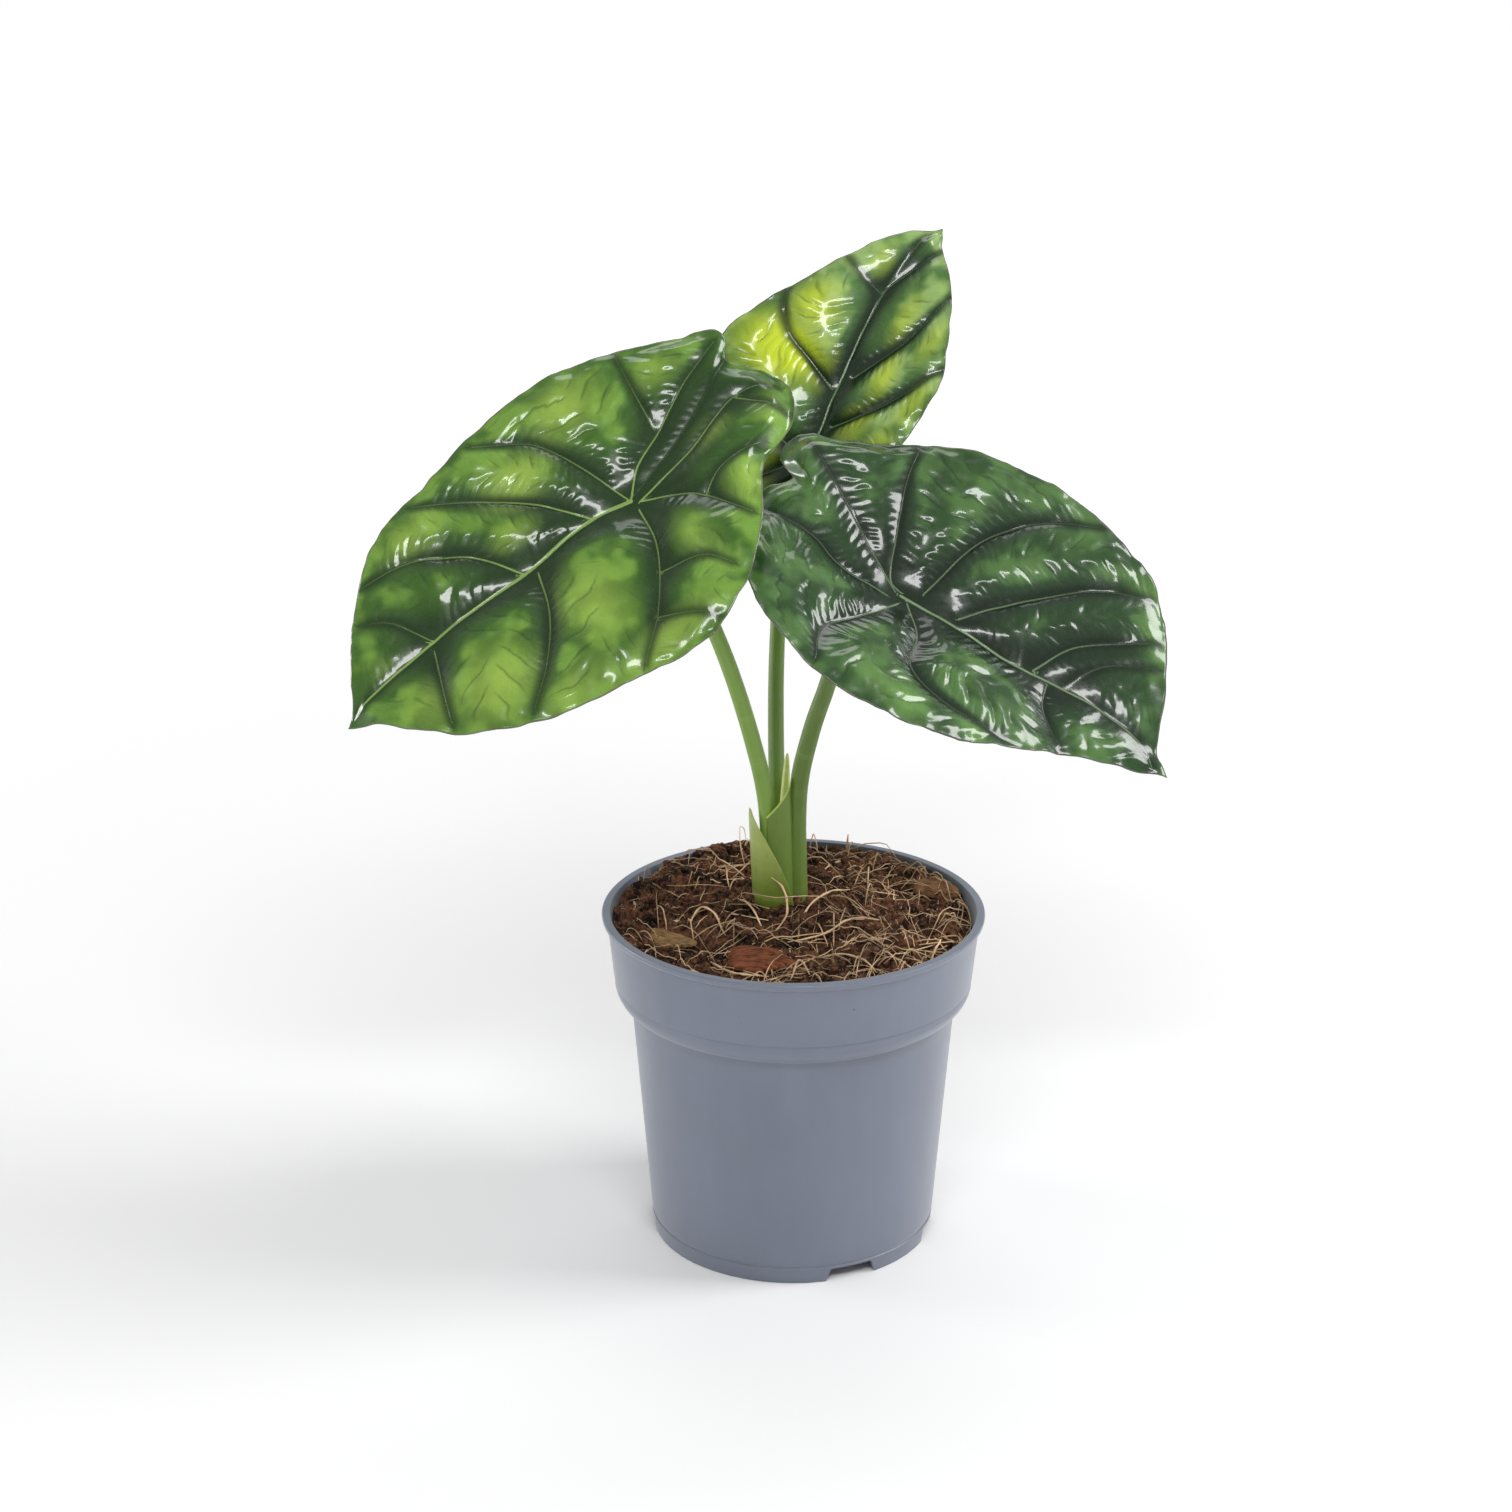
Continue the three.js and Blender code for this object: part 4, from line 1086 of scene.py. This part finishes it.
class ALOCASIA_OT_strewn(bpy.types.Operator):
    """Strew coir fibres and crumbs of peat over the mix"""
    bl_idname = "alocasia.strewn"
    bl_label = "Fibres and crumbs"

    def execute(self, context):
        settings = context.scene.alocasia_mix
        vertices, faces = strewn_surface(settings)
        pale = settings.fibre_colour
        coir = fibre_material("pale coir", pale, shade(pale, 0.42))
        values = {"Density": settings.fibre_density, "Length": settings.fibre_length,
                  "Radius": settings.fibre_radius, "Seed": settings.seed,
                  "Wall radius": (MIX_RADIUS - 0.6) * MM}
        finish_piece(fibre_tree(coir).run("loose_coir", vertices, faces, values, coir), "coir")
        peat = peat_material(settings, "peat crumbs")
        values = {"Density": settings.crumb_density, "Size": settings.crumb_size,
                  "Seed": settings.seed + 40, "Wall radius": (MIX_RADIUS - 2.4) * MM}
        finish_piece(crumb_tree(peat).run("peat_crumbs", vertices, faces, values, peat), "peat")
        return {"FINISHED"}


class ALOCASIA_OT_coarse(bpy.types.Operator):
    """Lay the coarse fibres, the husk chips and the pale grains on the mix"""
    bl_idname = "alocasia.coarse"
    bl_label = "Coarse fibres, chips and grains"

    def execute(self, context):
        coir = context.scene.alocasia_mix.fibre_colour
        strand = fibre_material("coarse coir", shade(coir, 1.08), shade(coir, 0.55))
        for number, points in enumerate(FIBRES, 1):
            finish_piece(coir_strand(number, points, strand), "coir", f"coir_fibre_{number:02d}")
        for side, chip in HUSK_CHIPS.items():
            material = husk_material(f"husk {side}", *(rgb(*tone) for tone in chip["shades"]))
            finish_piece(husk_chip(side, chip, material), "husk", f"husk_chip_{side}")
        pale = fibre_material("pale grain", rgb(226, 216, 196), rgb(176, 160, 136))
        for number, (place, radius) in enumerate(GRAINS, 1):
            finish_piece(grain(number, place, radius, pale), "pale_grain", f"pale_grain_{number}")
        return {"FINISHED"}


def coir_strand(number, points, material):
    """One coarse fibre: a thin tapered tube on its route, a little crooked and uneven."""
    rows = 36
    route = []
    for point in points:
        x, y = place_on_mix(point)
        route.append((x, y, mix_height(x, y) + point[2]))
    path = centripetal(route, rows)
    crooked = [field_noise(path, 6.0, number + k * 11.0, 2) for k in range(3)]
    share = np.linspace(-1, 1, rows)
    radii = 0.34 * (1 - 0.7 * np.abs(share) ** 3) * (1 + 0.2 * np.sin(share * 17 + number))
    vertices, faces, _, _ = tube(path + 0.35 * np.column_stack(crooked), radii, 7)
    return mesh_object(f"coir_strand_{number:02d}", vertices, faces, [material])


def husk_chip(side, chip, material):
    """A torn flake of husk: a thin ragged plate with its fibres lengthwise."""
    length, width, thickness = chip["size"]
    sides, rows = 96, 22
    turns = ring_angles(sides)
    ragged = 1 + 0.10 * np.sin(3 * turns + 0.8) + 0.05 * np.cos(5 * turns)
    ragged += 0.07 * field_noise(np.column_stack([np.cos(turns), np.sin(turns)]) * 10, 1.4, 3.0, 3)
    level = np.repeat(np.linspace(-1, 1, rows), sides)
    spread = 0.02 + 0.98 * np.maximum(0.02, np.sqrt(1 - np.abs(level) ** 2.6))
    rise = np.sign(level) * (1 - (1 - np.abs(level)) ** 1.4)
    points = np.column_stack([
        spread * np.tile(ragged * length / 2 * np.cos(turns), rows),
        spread * np.tile(ragged * width / 2 * np.sin(turns), rows), rise * thickness / 2])
    uv = np.vstack([points[:, :2] / (length, width), (0, 0), (0, 0)])
    grooves = field_noise(points * (0.25, 1.6, 1.0), 1.5, len(side), 3)
    rough = field_noise(points, 2.6, len(side) + 5.0, 3)
    points[:, 2] += (0.55 * grooves + 0.5 * rough) * np.sign(points[:, 2] + 1e-9) * 0.55
    points[:, 2] += chip["curl"] * points[:, 0] ** 2
    for key, axis in (("lean", "X"), ("turn", "Z")):
        points = points @ np.array(Matrix.Rotation(math.radians(chip[key]), 3, axis)).T
    points += (*place_on_mix(chip["place"], length / 2), 0)
    sunk = mix_height(points[:, 0], points[:, 1]) - points[:, 2]
    points[:, 2] += np.percentile(sunk, 97) + 1.0
    vertices = np.vstack([points, points[:sides].mean(0), points[-sides:].mean(0)])
    return mesh_object(f"husk_flake_{side}", vertices, capped_faces(rows, sides), [material], uv=uv)


def grain(number, place, radius, material):
    x, y = place_on_mix(place, radius)
    vertices, faces = turned([(radius * math.cos(a), radius * math.sin(a))
                              for a in np.linspace(-math.pi / 2, math.pi / 2, 13)], 20)
    vertices = vertices * (1.2, 1.0, 0.8)
    swell = 1 + 0.16 * field_noise(vertices, radius * 1.1, number, 2)
    vertices = vertices * swell[:, None] + (x, y, mix_height(x, y) + 0.8 * radius + 0.6)
    return mesh_object(f"pale_speck_{number}", vertices, faces, [material])


# ---- Blades ----
def blade_frame(blade):
    """Where the stalk meets the blade, and its ways towards the tip, across and out of its face."""
    tipward = np.array(blade["tipward"]) / np.linalg.norm(blade["tipward"])
    face = np.array(blade["face"])
    face = face - face @ tipward * tipward
    face /= np.linalg.norm(face)
    return from_stem(blade["at"]), tipward, np.cross(face, tipward), face


def blade_height(blade, u, v):
    crease = 8
    fold = blade["fold"] * (np.hypot(v, crease) - crease)
    return fold - ARCH * v * v - DROOP * np.maximum(0, u) ** 2


def measure_vein(points, vein):
    """For each point: distance to the vein, its side, how far along the vein, and its share."""
    path = centripetal(vein, max(8, len(vein) * 8))
    steps = np.diff(path, axis=0)
    lengths = np.linalg.norm(steps, axis=1)
    before = np.concatenate([[0], np.cumsum(lengths)[:-1]])
    best = np.full(len(points), 1e9)
    side, along = np.ones(len(points)), np.zeros(len(points))
    for start, step, length, passed in zip(path, steps, lengths, before):
        off = points - start
        t = np.clip(off @ step / (length * length), 0, 1)
        distance = np.hypot(*(off - t[:, None] * step).T)
        near = distance < best
        best[near] = distance[near]
        side[near] = np.sign(step[0] * off[near, 1] - step[1] * off[near, 0])
        along[near] = passed + t[near] * length
    side[side == 0] = 1
    return best, side, along, along / lengths.sum()


def blade_fields(side, points, share, settings):
    """What shapes and colours a blade, at points of its plane: relief and named shares."""
    blade = BLADES[side]
    spacing = settings.rib_spacing / MM
    seed = len(side)
    veins = blade["veins"]
    measured = [measure_vein(points, route) for route, _, _ in veins.values()]
    distance, hand, run, part = (np.array(rows) for rows in zip(*measured))
    half_width, depth = (np.array([vein[k] for vein in veins.values()])[:, None] for k in (1, 2))
    wide = np.array([1.25 if name == "midrib" else 1 for name in veins])[:, None]
    run += np.array([40.0 * len(name) for name in veins])[:, None]
    weight = depth * (1 - 0.62 * part ** 2)
    width = settings.valley_width / MM * blade["valley"] * (0.75 + 0.5 * part) * wide
    swell = np.prod(1 - weight * np.exp(-distance / width), axis=0)
    taper = half_width * (1 - 0.55 * part)
    clear = distance - taper
    nearest, second = np.sort(clear, axis=0)[:2]
    chosen = clear.argmin(axis=0), np.arange(len(points))
    signed, half, along, weight = (rows[chosen] for rows in (distance * hand, taper, run, weight))
    distance = np.abs(signed)
    apart = smoothstep(0.2, 5.0, second - nearest)
    near_middle = smoothstep(4, 12, np.hypot(*points.T))
    warp = field_noise(points, 9.0, 4.0 + seed, 2)
    rib_phase = (along + 0.5 * distance + 1.6 * warp) / spacing
    ribbed = smoothstep(0.3, 2.2, distance) * (1 - smoothstep(4.5, 11.5, distance)) * weight
    ribbed *= 0.65 + 0.5 * field_noise(points, 13.0, 9.0 + seed, 2)
    ribbed = np.clip(ribbed, 0, 1) * (1 - smoothstep(0.94, 1.0, share)) * apart * near_middle
    crease_phase = (along + 0.8 * distance + 2.2 * warp) / (spacing * 2.7)
    creased = smoothstep(2, 7, distance) * (1 - smoothstep(0.9, 1.0, share)) * apart * near_middle
    ribs, creases = (np.abs(np.sin(math.pi * phase)) - 0.6 for phase in (rib_phase, crease_phase))
    relief = settings.quilt_depth / MM * (1 - 0.45 * smoothstep(0.8, 1.0, share)) * (swell - 0.5)
    relief += settings.rib_depth / MM * 2 * ribs * ribbed + blade["pucker"] * creases * creased
    relief += 0.9 * field_noise(points, 17.0, 2.0 + seed, 2) * near_middle
    # Painted light: where the lighter glow patches are painted.
    glow = np.zeros(len(points))
    for u, v, du, dv, strength in GLOW[side]:
        off = (points - (u, v)) / (du, dv)
        glow = np.maximum(glow, strength * np.exp(-(off ** 2).sum(axis=1)))
    # Painted reflection: the band beside the veins where a grey sheen is painted, partly the leaf's
    # own silvery sheen.
    sheen = smoothstep(0.5, 2.0, distance) * (1 - smoothstep(3.5, 8.5, distance)) * weight * apart
    return relief, {
        "vein": signed, "away": distance, "vein_half": half, "crest": swell, "glow": glow,
        "rib_phase": rib_phase, "rib_amount": ribbed, "crease_phase": crease_phase,
        "crease_amount": creased, "sheen": sheen,
    }


def blade_piece(side, settings, upper, lower):
    """A blade's two skins, spokes by rings round its stalk, joined at the margin."""
    blade, seed = BLADES[side], len(side)
    origin, tipward, across, face = blade_frame(blade)
    spokes, rings = settings.spokes, settings.rings
    outline = centripetal([*blade["outline"], blade["outline"][0]], spokes + 1)[:-1]
    tip = outline[0].copy()
    from_tip = np.hypot(*(outline - tip).T)
    waves = 0.5 * field_noise(outline, 9.0, 12.0 + seed, 2) * smoothstep(4, 12, from_tip)
    pull = blade["nib"] * np.exp(-(from_tip / 3.2) ** 1.4)
    outline = (outline * (1 + waves / np.hypot(*outline.T))[:, None]
               + pull[:, None] * tip / np.hypot(*tip))
    shares = np.linspace(0, 1, rings + 1)[1:] ** 0.93
    points = np.vstack([(shares[:, None, None] * outline).reshape(-1, 2), (0, 0)])
    share = np.append(np.repeat(shares, spokes), 0)
    edge = (1 - share) * np.append(np.tile(np.hypot(*outline.T), rings), 50) * 0.8
    relief, fields = blade_fields(side, points, share, settings)
    ripple = field_noise(points, 8.0, 20.0 + seed, 2)
    relief += (1.2 * ripple - 0.9) * (1 - smoothstep(0, 7, edge)) ** 2
    for u, v, wide, depth in ROLLS[side]:
        spread = np.exp(-((points - (u, v)) ** 2).sum(axis=1) / wide ** 2)
        relief -= depth * spread * (1 - smoothstep(0, 10, edge)) ** 2
    height = blade_height(blade, *points.T) + relief
    half = fields["vein_half"]
    rib = np.exp(-(fields["away"] / (0.5 + half * 2)) ** 2) * smoothstep(0.05, 0.3, half)
    thickness = 0.28 + 0.5 * smoothstep(0, 3, edge) + 0.9 * rib * smoothstep(0, 2, edge)
    thickness += 1.6 * np.exp(-(np.hypot(*points.T) / 4.5) ** 2)
    skins = [origin + points[:, :1] * tipward + points[:, 1:] * across + z[:, None] * face
             for z in (height, height - thickness)]
    count, rim = len(points), (rings - 1) * spokes
    skin = loft_faces(rings, spokes) + [(count - 1, (i + 1) % spokes, i) for i in range(spokes)]
    faces = skin + [tuple(count + k for k in reversed(corners)) for corners in skin]
    faces += [(rim + i, rim + j, count + rim + j, count + rim + i)
              for i in range(spokes) for j in [(i + 1) % spokes]]
    slots = [0] * len(skin) + [1] * len(skin) + [0] * spokes
    fields["edge"] = edge
    return mesh_object(f"leaf_{side}", np.vstack(skins), faces, [upper, lower], slots=slots,
                       attributes={key: np.tile(values, 2) for key, values in fields.items()})


class ALOCASIA_OT_blades(bpy.types.Operator):
    """Shape the three quilted blades"""
    bl_idname = "alocasia.blades"
    bl_label = "Blades"

    def execute(self, context):
        settings = context.scene.alocasia_blades
        lower = leaf_underside_material("leaf underside", rgb(124, 150, 98), rgb(168, 188, 128))
        for side, blade in BLADES.items():
            colours = {key: rgb(*tone) for key, tone in blade["shades"].items()}
            upper = leaf_material(f"leaf {side}", **colours)
            piece = blade_piece(side, settings, upper, lower)
            finish_piece(piece, blade["slot"], f"blade_{side}")
        return {"FINISHED"}


# ---- Stalks, sheath and shoot ----
def stalk_path(side, depth, count):
    stalk, blade = STALKS[side], BLADES[side]
    origin, _, _, face = blade_frame(blade)
    neck = stalk["neck"]
    points = [in_sheath(stalk["foot"], CORM_TOP + FIT), in_sheath(neck, MIX_LEVEL + neck[2])]
    points += [from_stem(place) for place in stalk["route"]]
    points += [origin - face * (BLADE_THICKNESS + below)
               for below in (APPROACH, APPROACH / 2, depth)]
    return centripetal(points, count)


class ALOCASIA_OT_stalks(bpy.types.Operator):
    """Grow the three leaf stalks"""
    bl_idname = "alocasia.stalks"
    bl_label = "Leaf stalks"

    def execute(self, context):
        settings = context.scene.alocasia_stalks
        sink = 0.45 * context.scene.alocasia_blades.quilt_depth / MM
        rows = 110
        share = np.linspace(0, 1, rows)
        for side, stalk in STALKS.items():
            path = stalk_path(side, sink + 0.1, rows)
            radii = stalk["base"] * SHEATH_ROOM * (1 - share) + stalk["top"] * share
            radii *= 1 + 0.05 * np.exp(-(share / 0.12) ** 2)
            radii += 0.9 * smoothstep(0.965, 1.0, share)
            vertices, faces, along, around = tube(path, radii, settings.sides, 0.035, 9)
            uv = np.column_stack([around, along * 8])
            low, high = stalk["darken"]
            material = stalk_material(f"stalk {side}", shade(settings.low, low),
                                      shade(settings.high, high), rgb(*stalk["streak"]))
            piece = mesh_object(f"leaf_stalk_{side}", vertices, faces, [material],
                                attributes={"along": along}, uv=uv)
            finish_piece(piece, stalk["slot"], f"petiole_{side}")
        return {"FINISHED"}


def wing_shape(up, turn):
    """The right stalk's thin wing, which wraps round the front of the new shoot."""
    foot, right, left = MIX_LEVEL + MOUND - 3, -42 - 16 * up, -122
    low, high = 5.0 + 3.1 * turn ** 0.8, 5.2 + 4.3 * turn ** 0.8
    return {
        "radius": low + (high - low) * up ** 2,
        "thickness": 0.15 + 0.45 * min(1, 9 * (1 - up)) * min(1, 6 * (1 - turn)),
        "angle": right + (left - right) * turn,
        "height": foot + (WING_TOP - 12 * turn - foot) * up,
        "along": 0.4 if up > 0.975 else 0.0, "uv": (turn * 0.6, up * 2)}


def sheath_shape(up, turn):
    """The sheath: wide at its foot, and narrowing to a point at the left."""
    side = 2 * turn - 1
    swing = (72 * (1 - up ** 1.7) + 11 * (1 - 0.35 * up)) * side
    swell = 0.12 * math.cos(math.radians(swing) * 14) * (1 - up)
    sunk = 0.0 if up else 3.0
    return {
        "radius": SHEATH_RADIUS + 0.3 * up - 0.25 + swell,
        "thickness": (SHEATH_THICKNESS - 0.15) * (1 - 0.72 * abs(side) ** 3) * (1 - 0.5 * up),
        "angle": 212 - 10 * up + swing,
        "height": MIX_LEVEL + MOUND - 1 + SHEATH_HEIGHT * up - sunk - 1.6 * up ** 8 * turn,
        "along": up * 0.5, "uv": (turn, up * 3), "lean": SHEATH_LEAN * up}


def shell_faces(rows, width):
    """Faces of a closed shell between two grids of the same size, one after the other."""
    count = rows * width
    faces = loft_faces(rows, width, closed=False)
    faces += [tuple(count + k for k in reversed(face)) for face in faces]
    for row in range(rows - 1):
        for column in (0, width - 1):
            a, b = row * width + column, (row + 1) * width + column
            strip = (a, b, count + b, count + a)
            faces.append(tuple(reversed(strip)) if column else strip)
    for column in range(width - 1):
        for row in (0, rows - 1):
            a = row * width + column
            strip = (a, count + a, count + a + 1, a + 1)
            faces.append(tuple(reversed(strip)) if row else strip)
    return faces


def wrapped_shell(name, rows, columns, shape, material):
    """A thin closed shell round the stem, of a shape at each share of the way up and across."""
    outer, inner, along, uv = [], [], [], []
    for row, column in product(range(rows + 1), range(columns + 1)):
        at = shape(row / rows, column / columns)
        angle, lean = math.radians(at["angle"]), at.get("lean", 0)
        for reach, skin in ((at["radius"], outer), (at["radius"] - at["thickness"], inner)):
            skin.append((STEM[0] - 0.6 * lean + reach * math.cos(angle),
                         STEM[1] - 0.8 * lean + reach * math.sin(angle), at["height"]))
        along.append(at["along"])
        uv.append(at["uv"])
    return mesh_object(name, outer + inner, shell_faces(rows + 1, columns + 1), [material],
                       attributes={"along": along * 2}, uv=uv * 2)


class ALOCASIA_OT_sheath(bpy.types.Operator):
    """Wrap the sheath round the stem's foot and stand the new shoot behind it"""
    bl_idname = "alocasia.sheath"
    bl_label = "Sheath and new shoot"

    def execute(self, context):
        material = stalk_material("sheath skin", rgb(106, 126, 38), rgb(160, 176, 92),
                                  rgb(196, 206, 140))
        sheath = wrapped_shell("leaf_sheath", 59, 44, sheath_shape, material)
        finish_piece(sheath, "sheath", "sheath")
        low = shade(context.scene.alocasia_stalks.low, 0.6)
        material = stalk_material("stalk wing", low, rgb(176, 198, 92), rgb(140, 164, 96))
        wing = wrapped_shell("leaf_stalk_wing", 60, 40, wing_shape, material)
        finish_piece(wing, "stalk_dark")

        start = in_sheath(SHOOT["foot"], CORM_TOP + FIT)
        tip = in_sheath(SHOOT["tip"], MIX_LEVEL + SHOOT["height"])
        path = centripetal([start, (start + tip) / 2 + (-0.3, 0, 0), tip], 60)
        swell = 0.1 + 0.9 * np.sqrt(1 - np.linspace(0, 1, 60) ** 3.2)
        radii = 1.25 * SHOOT["radius"] * SHEATH_ROOM * swell
        vertices, faces, along, around = tube(path, radii, 22, 0.08, 5)
        material = stalk_material("shoot skin", rgb(178, 192, 110), rgb(206, 218, 128),
                                  rgb(226, 232, 168))
        shoot = mesh_object("rolled_shoot", vertices, faces, [material],
                            attributes={"along": along}, uv=np.column_stack([around, along * 3]))
        finish_piece(shoot, "shoot", "new_shoot")
        return {"FINISHED"}


# ---- Stage ----
FLOOR_HALF = 20000
FLOOR_LEVEL = -0.05
AIM = Vector((-0.0117, 0.0, 0.1587))
CAMERA_DISTANCE = 1.0
CAMERA_PITCH = math.radians(20)


def area_light(name, place, target, size, power):
    data = bpy.data.lights.new(name, "AREA")
    data.shape = "RECTANGLE"
    data.size, data.size_y = size
    data.energy = power
    lamp = bpy.data.objects.new(name, data)
    lamp.location = place
    lamp.rotation_euler = (Vector(target) - Vector(place)).to_track_quat("-Z", "Y").to_euler()
    bpy.context.scene.collection.objects.link(lamp)


def studio_world():
    """Soft light from all round, behind which the backdrop itself is nearly white."""
    world = bpy.data.worlds.new("studio")
    world.use_nodes = True
    nodes = Nodes(world.node_tree)
    light, backdrop = (nodes.node("Background", {"Color": (1, 1, 1, 1), "Strength": strength})
                       for strength in (0.38, 0.94))
    seen = nodes.node("LightPath", output="Is Camera Ray")
    nodes.node("OutputWorld", {0: nodes.node("MixShader", {0: seen, 1: light, 2: backdrop})})
    return world


class ALOCASIA_OT_stage(bpy.types.Operator):
    """Lay the pale floor, hang the studio lights and place the camera"""
    bl_idname = "alocasia.stage"
    bl_label = "Stage"

    def execute(self, context):
        settings = context.scene.alocasia_stage
        corners = [(x * FLOOR_HALF, y * FLOOR_HALF, FLOOR_LEVEL)
                   for x, y in ((-1, -1), (1, -1), (1, 1), (-1, 1))]
        floor = mesh_object("studio_floor", corners, [(0, 1, 2, 3)], [floor_material(settings)],
                            check=False)
        side = settings.side_power
        area_light("key", (0.05, -1.25, 1.4), (0, 0, 0.2), (1.1, 0.2), settings.key_power)
        area_light("right", (1.6, 0.0, 1.3), (0, 0, 0.1), (0.8, 0.8), side)
        area_light("left", (-1.6, 0.4, 0.32), (0, 0, 0.1), (0.5, 0.5), side * 0.4)
        area_light("top", (0.0, 1.1, 1.7), (0, 0, 0.1), (1.2, 0.8), settings.top_power)
        scene = context.scene
        scene.world = studio_world()
        scene.view_settings.view_transform = "Standard"
        lens = bpy.data.cameras.new("studio camera")
        lens.lens = settings.lens
        lens.sensor_width = 36
        camera = bpy.data.objects.new("studio camera", lens)
        back = Vector((0, -math.cos(CAMERA_PITCH), math.sin(CAMERA_PITCH)))
        camera.location = AIM + back * CAMERA_DISTANCE
        camera.rotation_euler = (math.pi / 2 - CAMERA_PITCH, 0, 0)
        scene.collection.objects.link(camera)
        scene.camera = camera
        return {"FINISHED"}


class ALOCASIA_PT_panel(bpy.types.Panel):
    bl_label = "Potted alocasia"
    bl_idname = "ALOCASIA_PT_panel"
    bl_space_type = "VIEW_3D"
    bl_region_type = "UI"
    bl_category = "Alocasia"

    def draw(self, context):
        for key, group in GROUPS.items():
            box = self.layout.box()
            settings = getattr(context.scene, key)
            for name in group.__annotations__:
                box.prop(settings, name)
        for operator in OPERATORS:
            self.layout.operator(operator.bl_idname)


GROUPS = {
    "alocasia_pot": PotSettings,
    "alocasia_mix": MixSettings,
    "alocasia_blades": BladeSettings,
    "alocasia_stalks": StalkSettings,
    "alocasia_stage": StageSettings,
}
OPERATORS = (
    ALOCASIA_OT_pot, ALOCASIA_OT_mix, ALOCASIA_OT_strewn, ALOCASIA_OT_coarse, ALOCASIA_OT_blades,
    ALOCASIA_OT_stalks, ALOCASIA_OT_sheath, ALOCASIA_OT_stage,
)


def register():
    for key, group in GROUPS.items():
        bpy.utils.register_class(group)
        setattr(bpy.types.Scene, key, PointerProperty(type=group))
    for operator in OPERATORS:
        bpy.utils.register_class(operator)
    bpy.utils.register_class(ALOCASIA_PT_panel)


def unregister():
    bpy.utils.unregister_class(ALOCASIA_PT_panel)
    for operator in reversed(OPERATORS):
        bpy.utils.unregister_class(operator)
    for key, group in reversed(GROUPS.items()):
        delattr(bpy.types.Scene, key)
        bpy.utils.unregister_class(group)


def main():
    register()
    for operator in OPERATORS:
        group, name = operator.bl_idname.split(".")
        getattr(getattr(bpy.ops, group), name)()


if __name__ == "__main__":
    main()
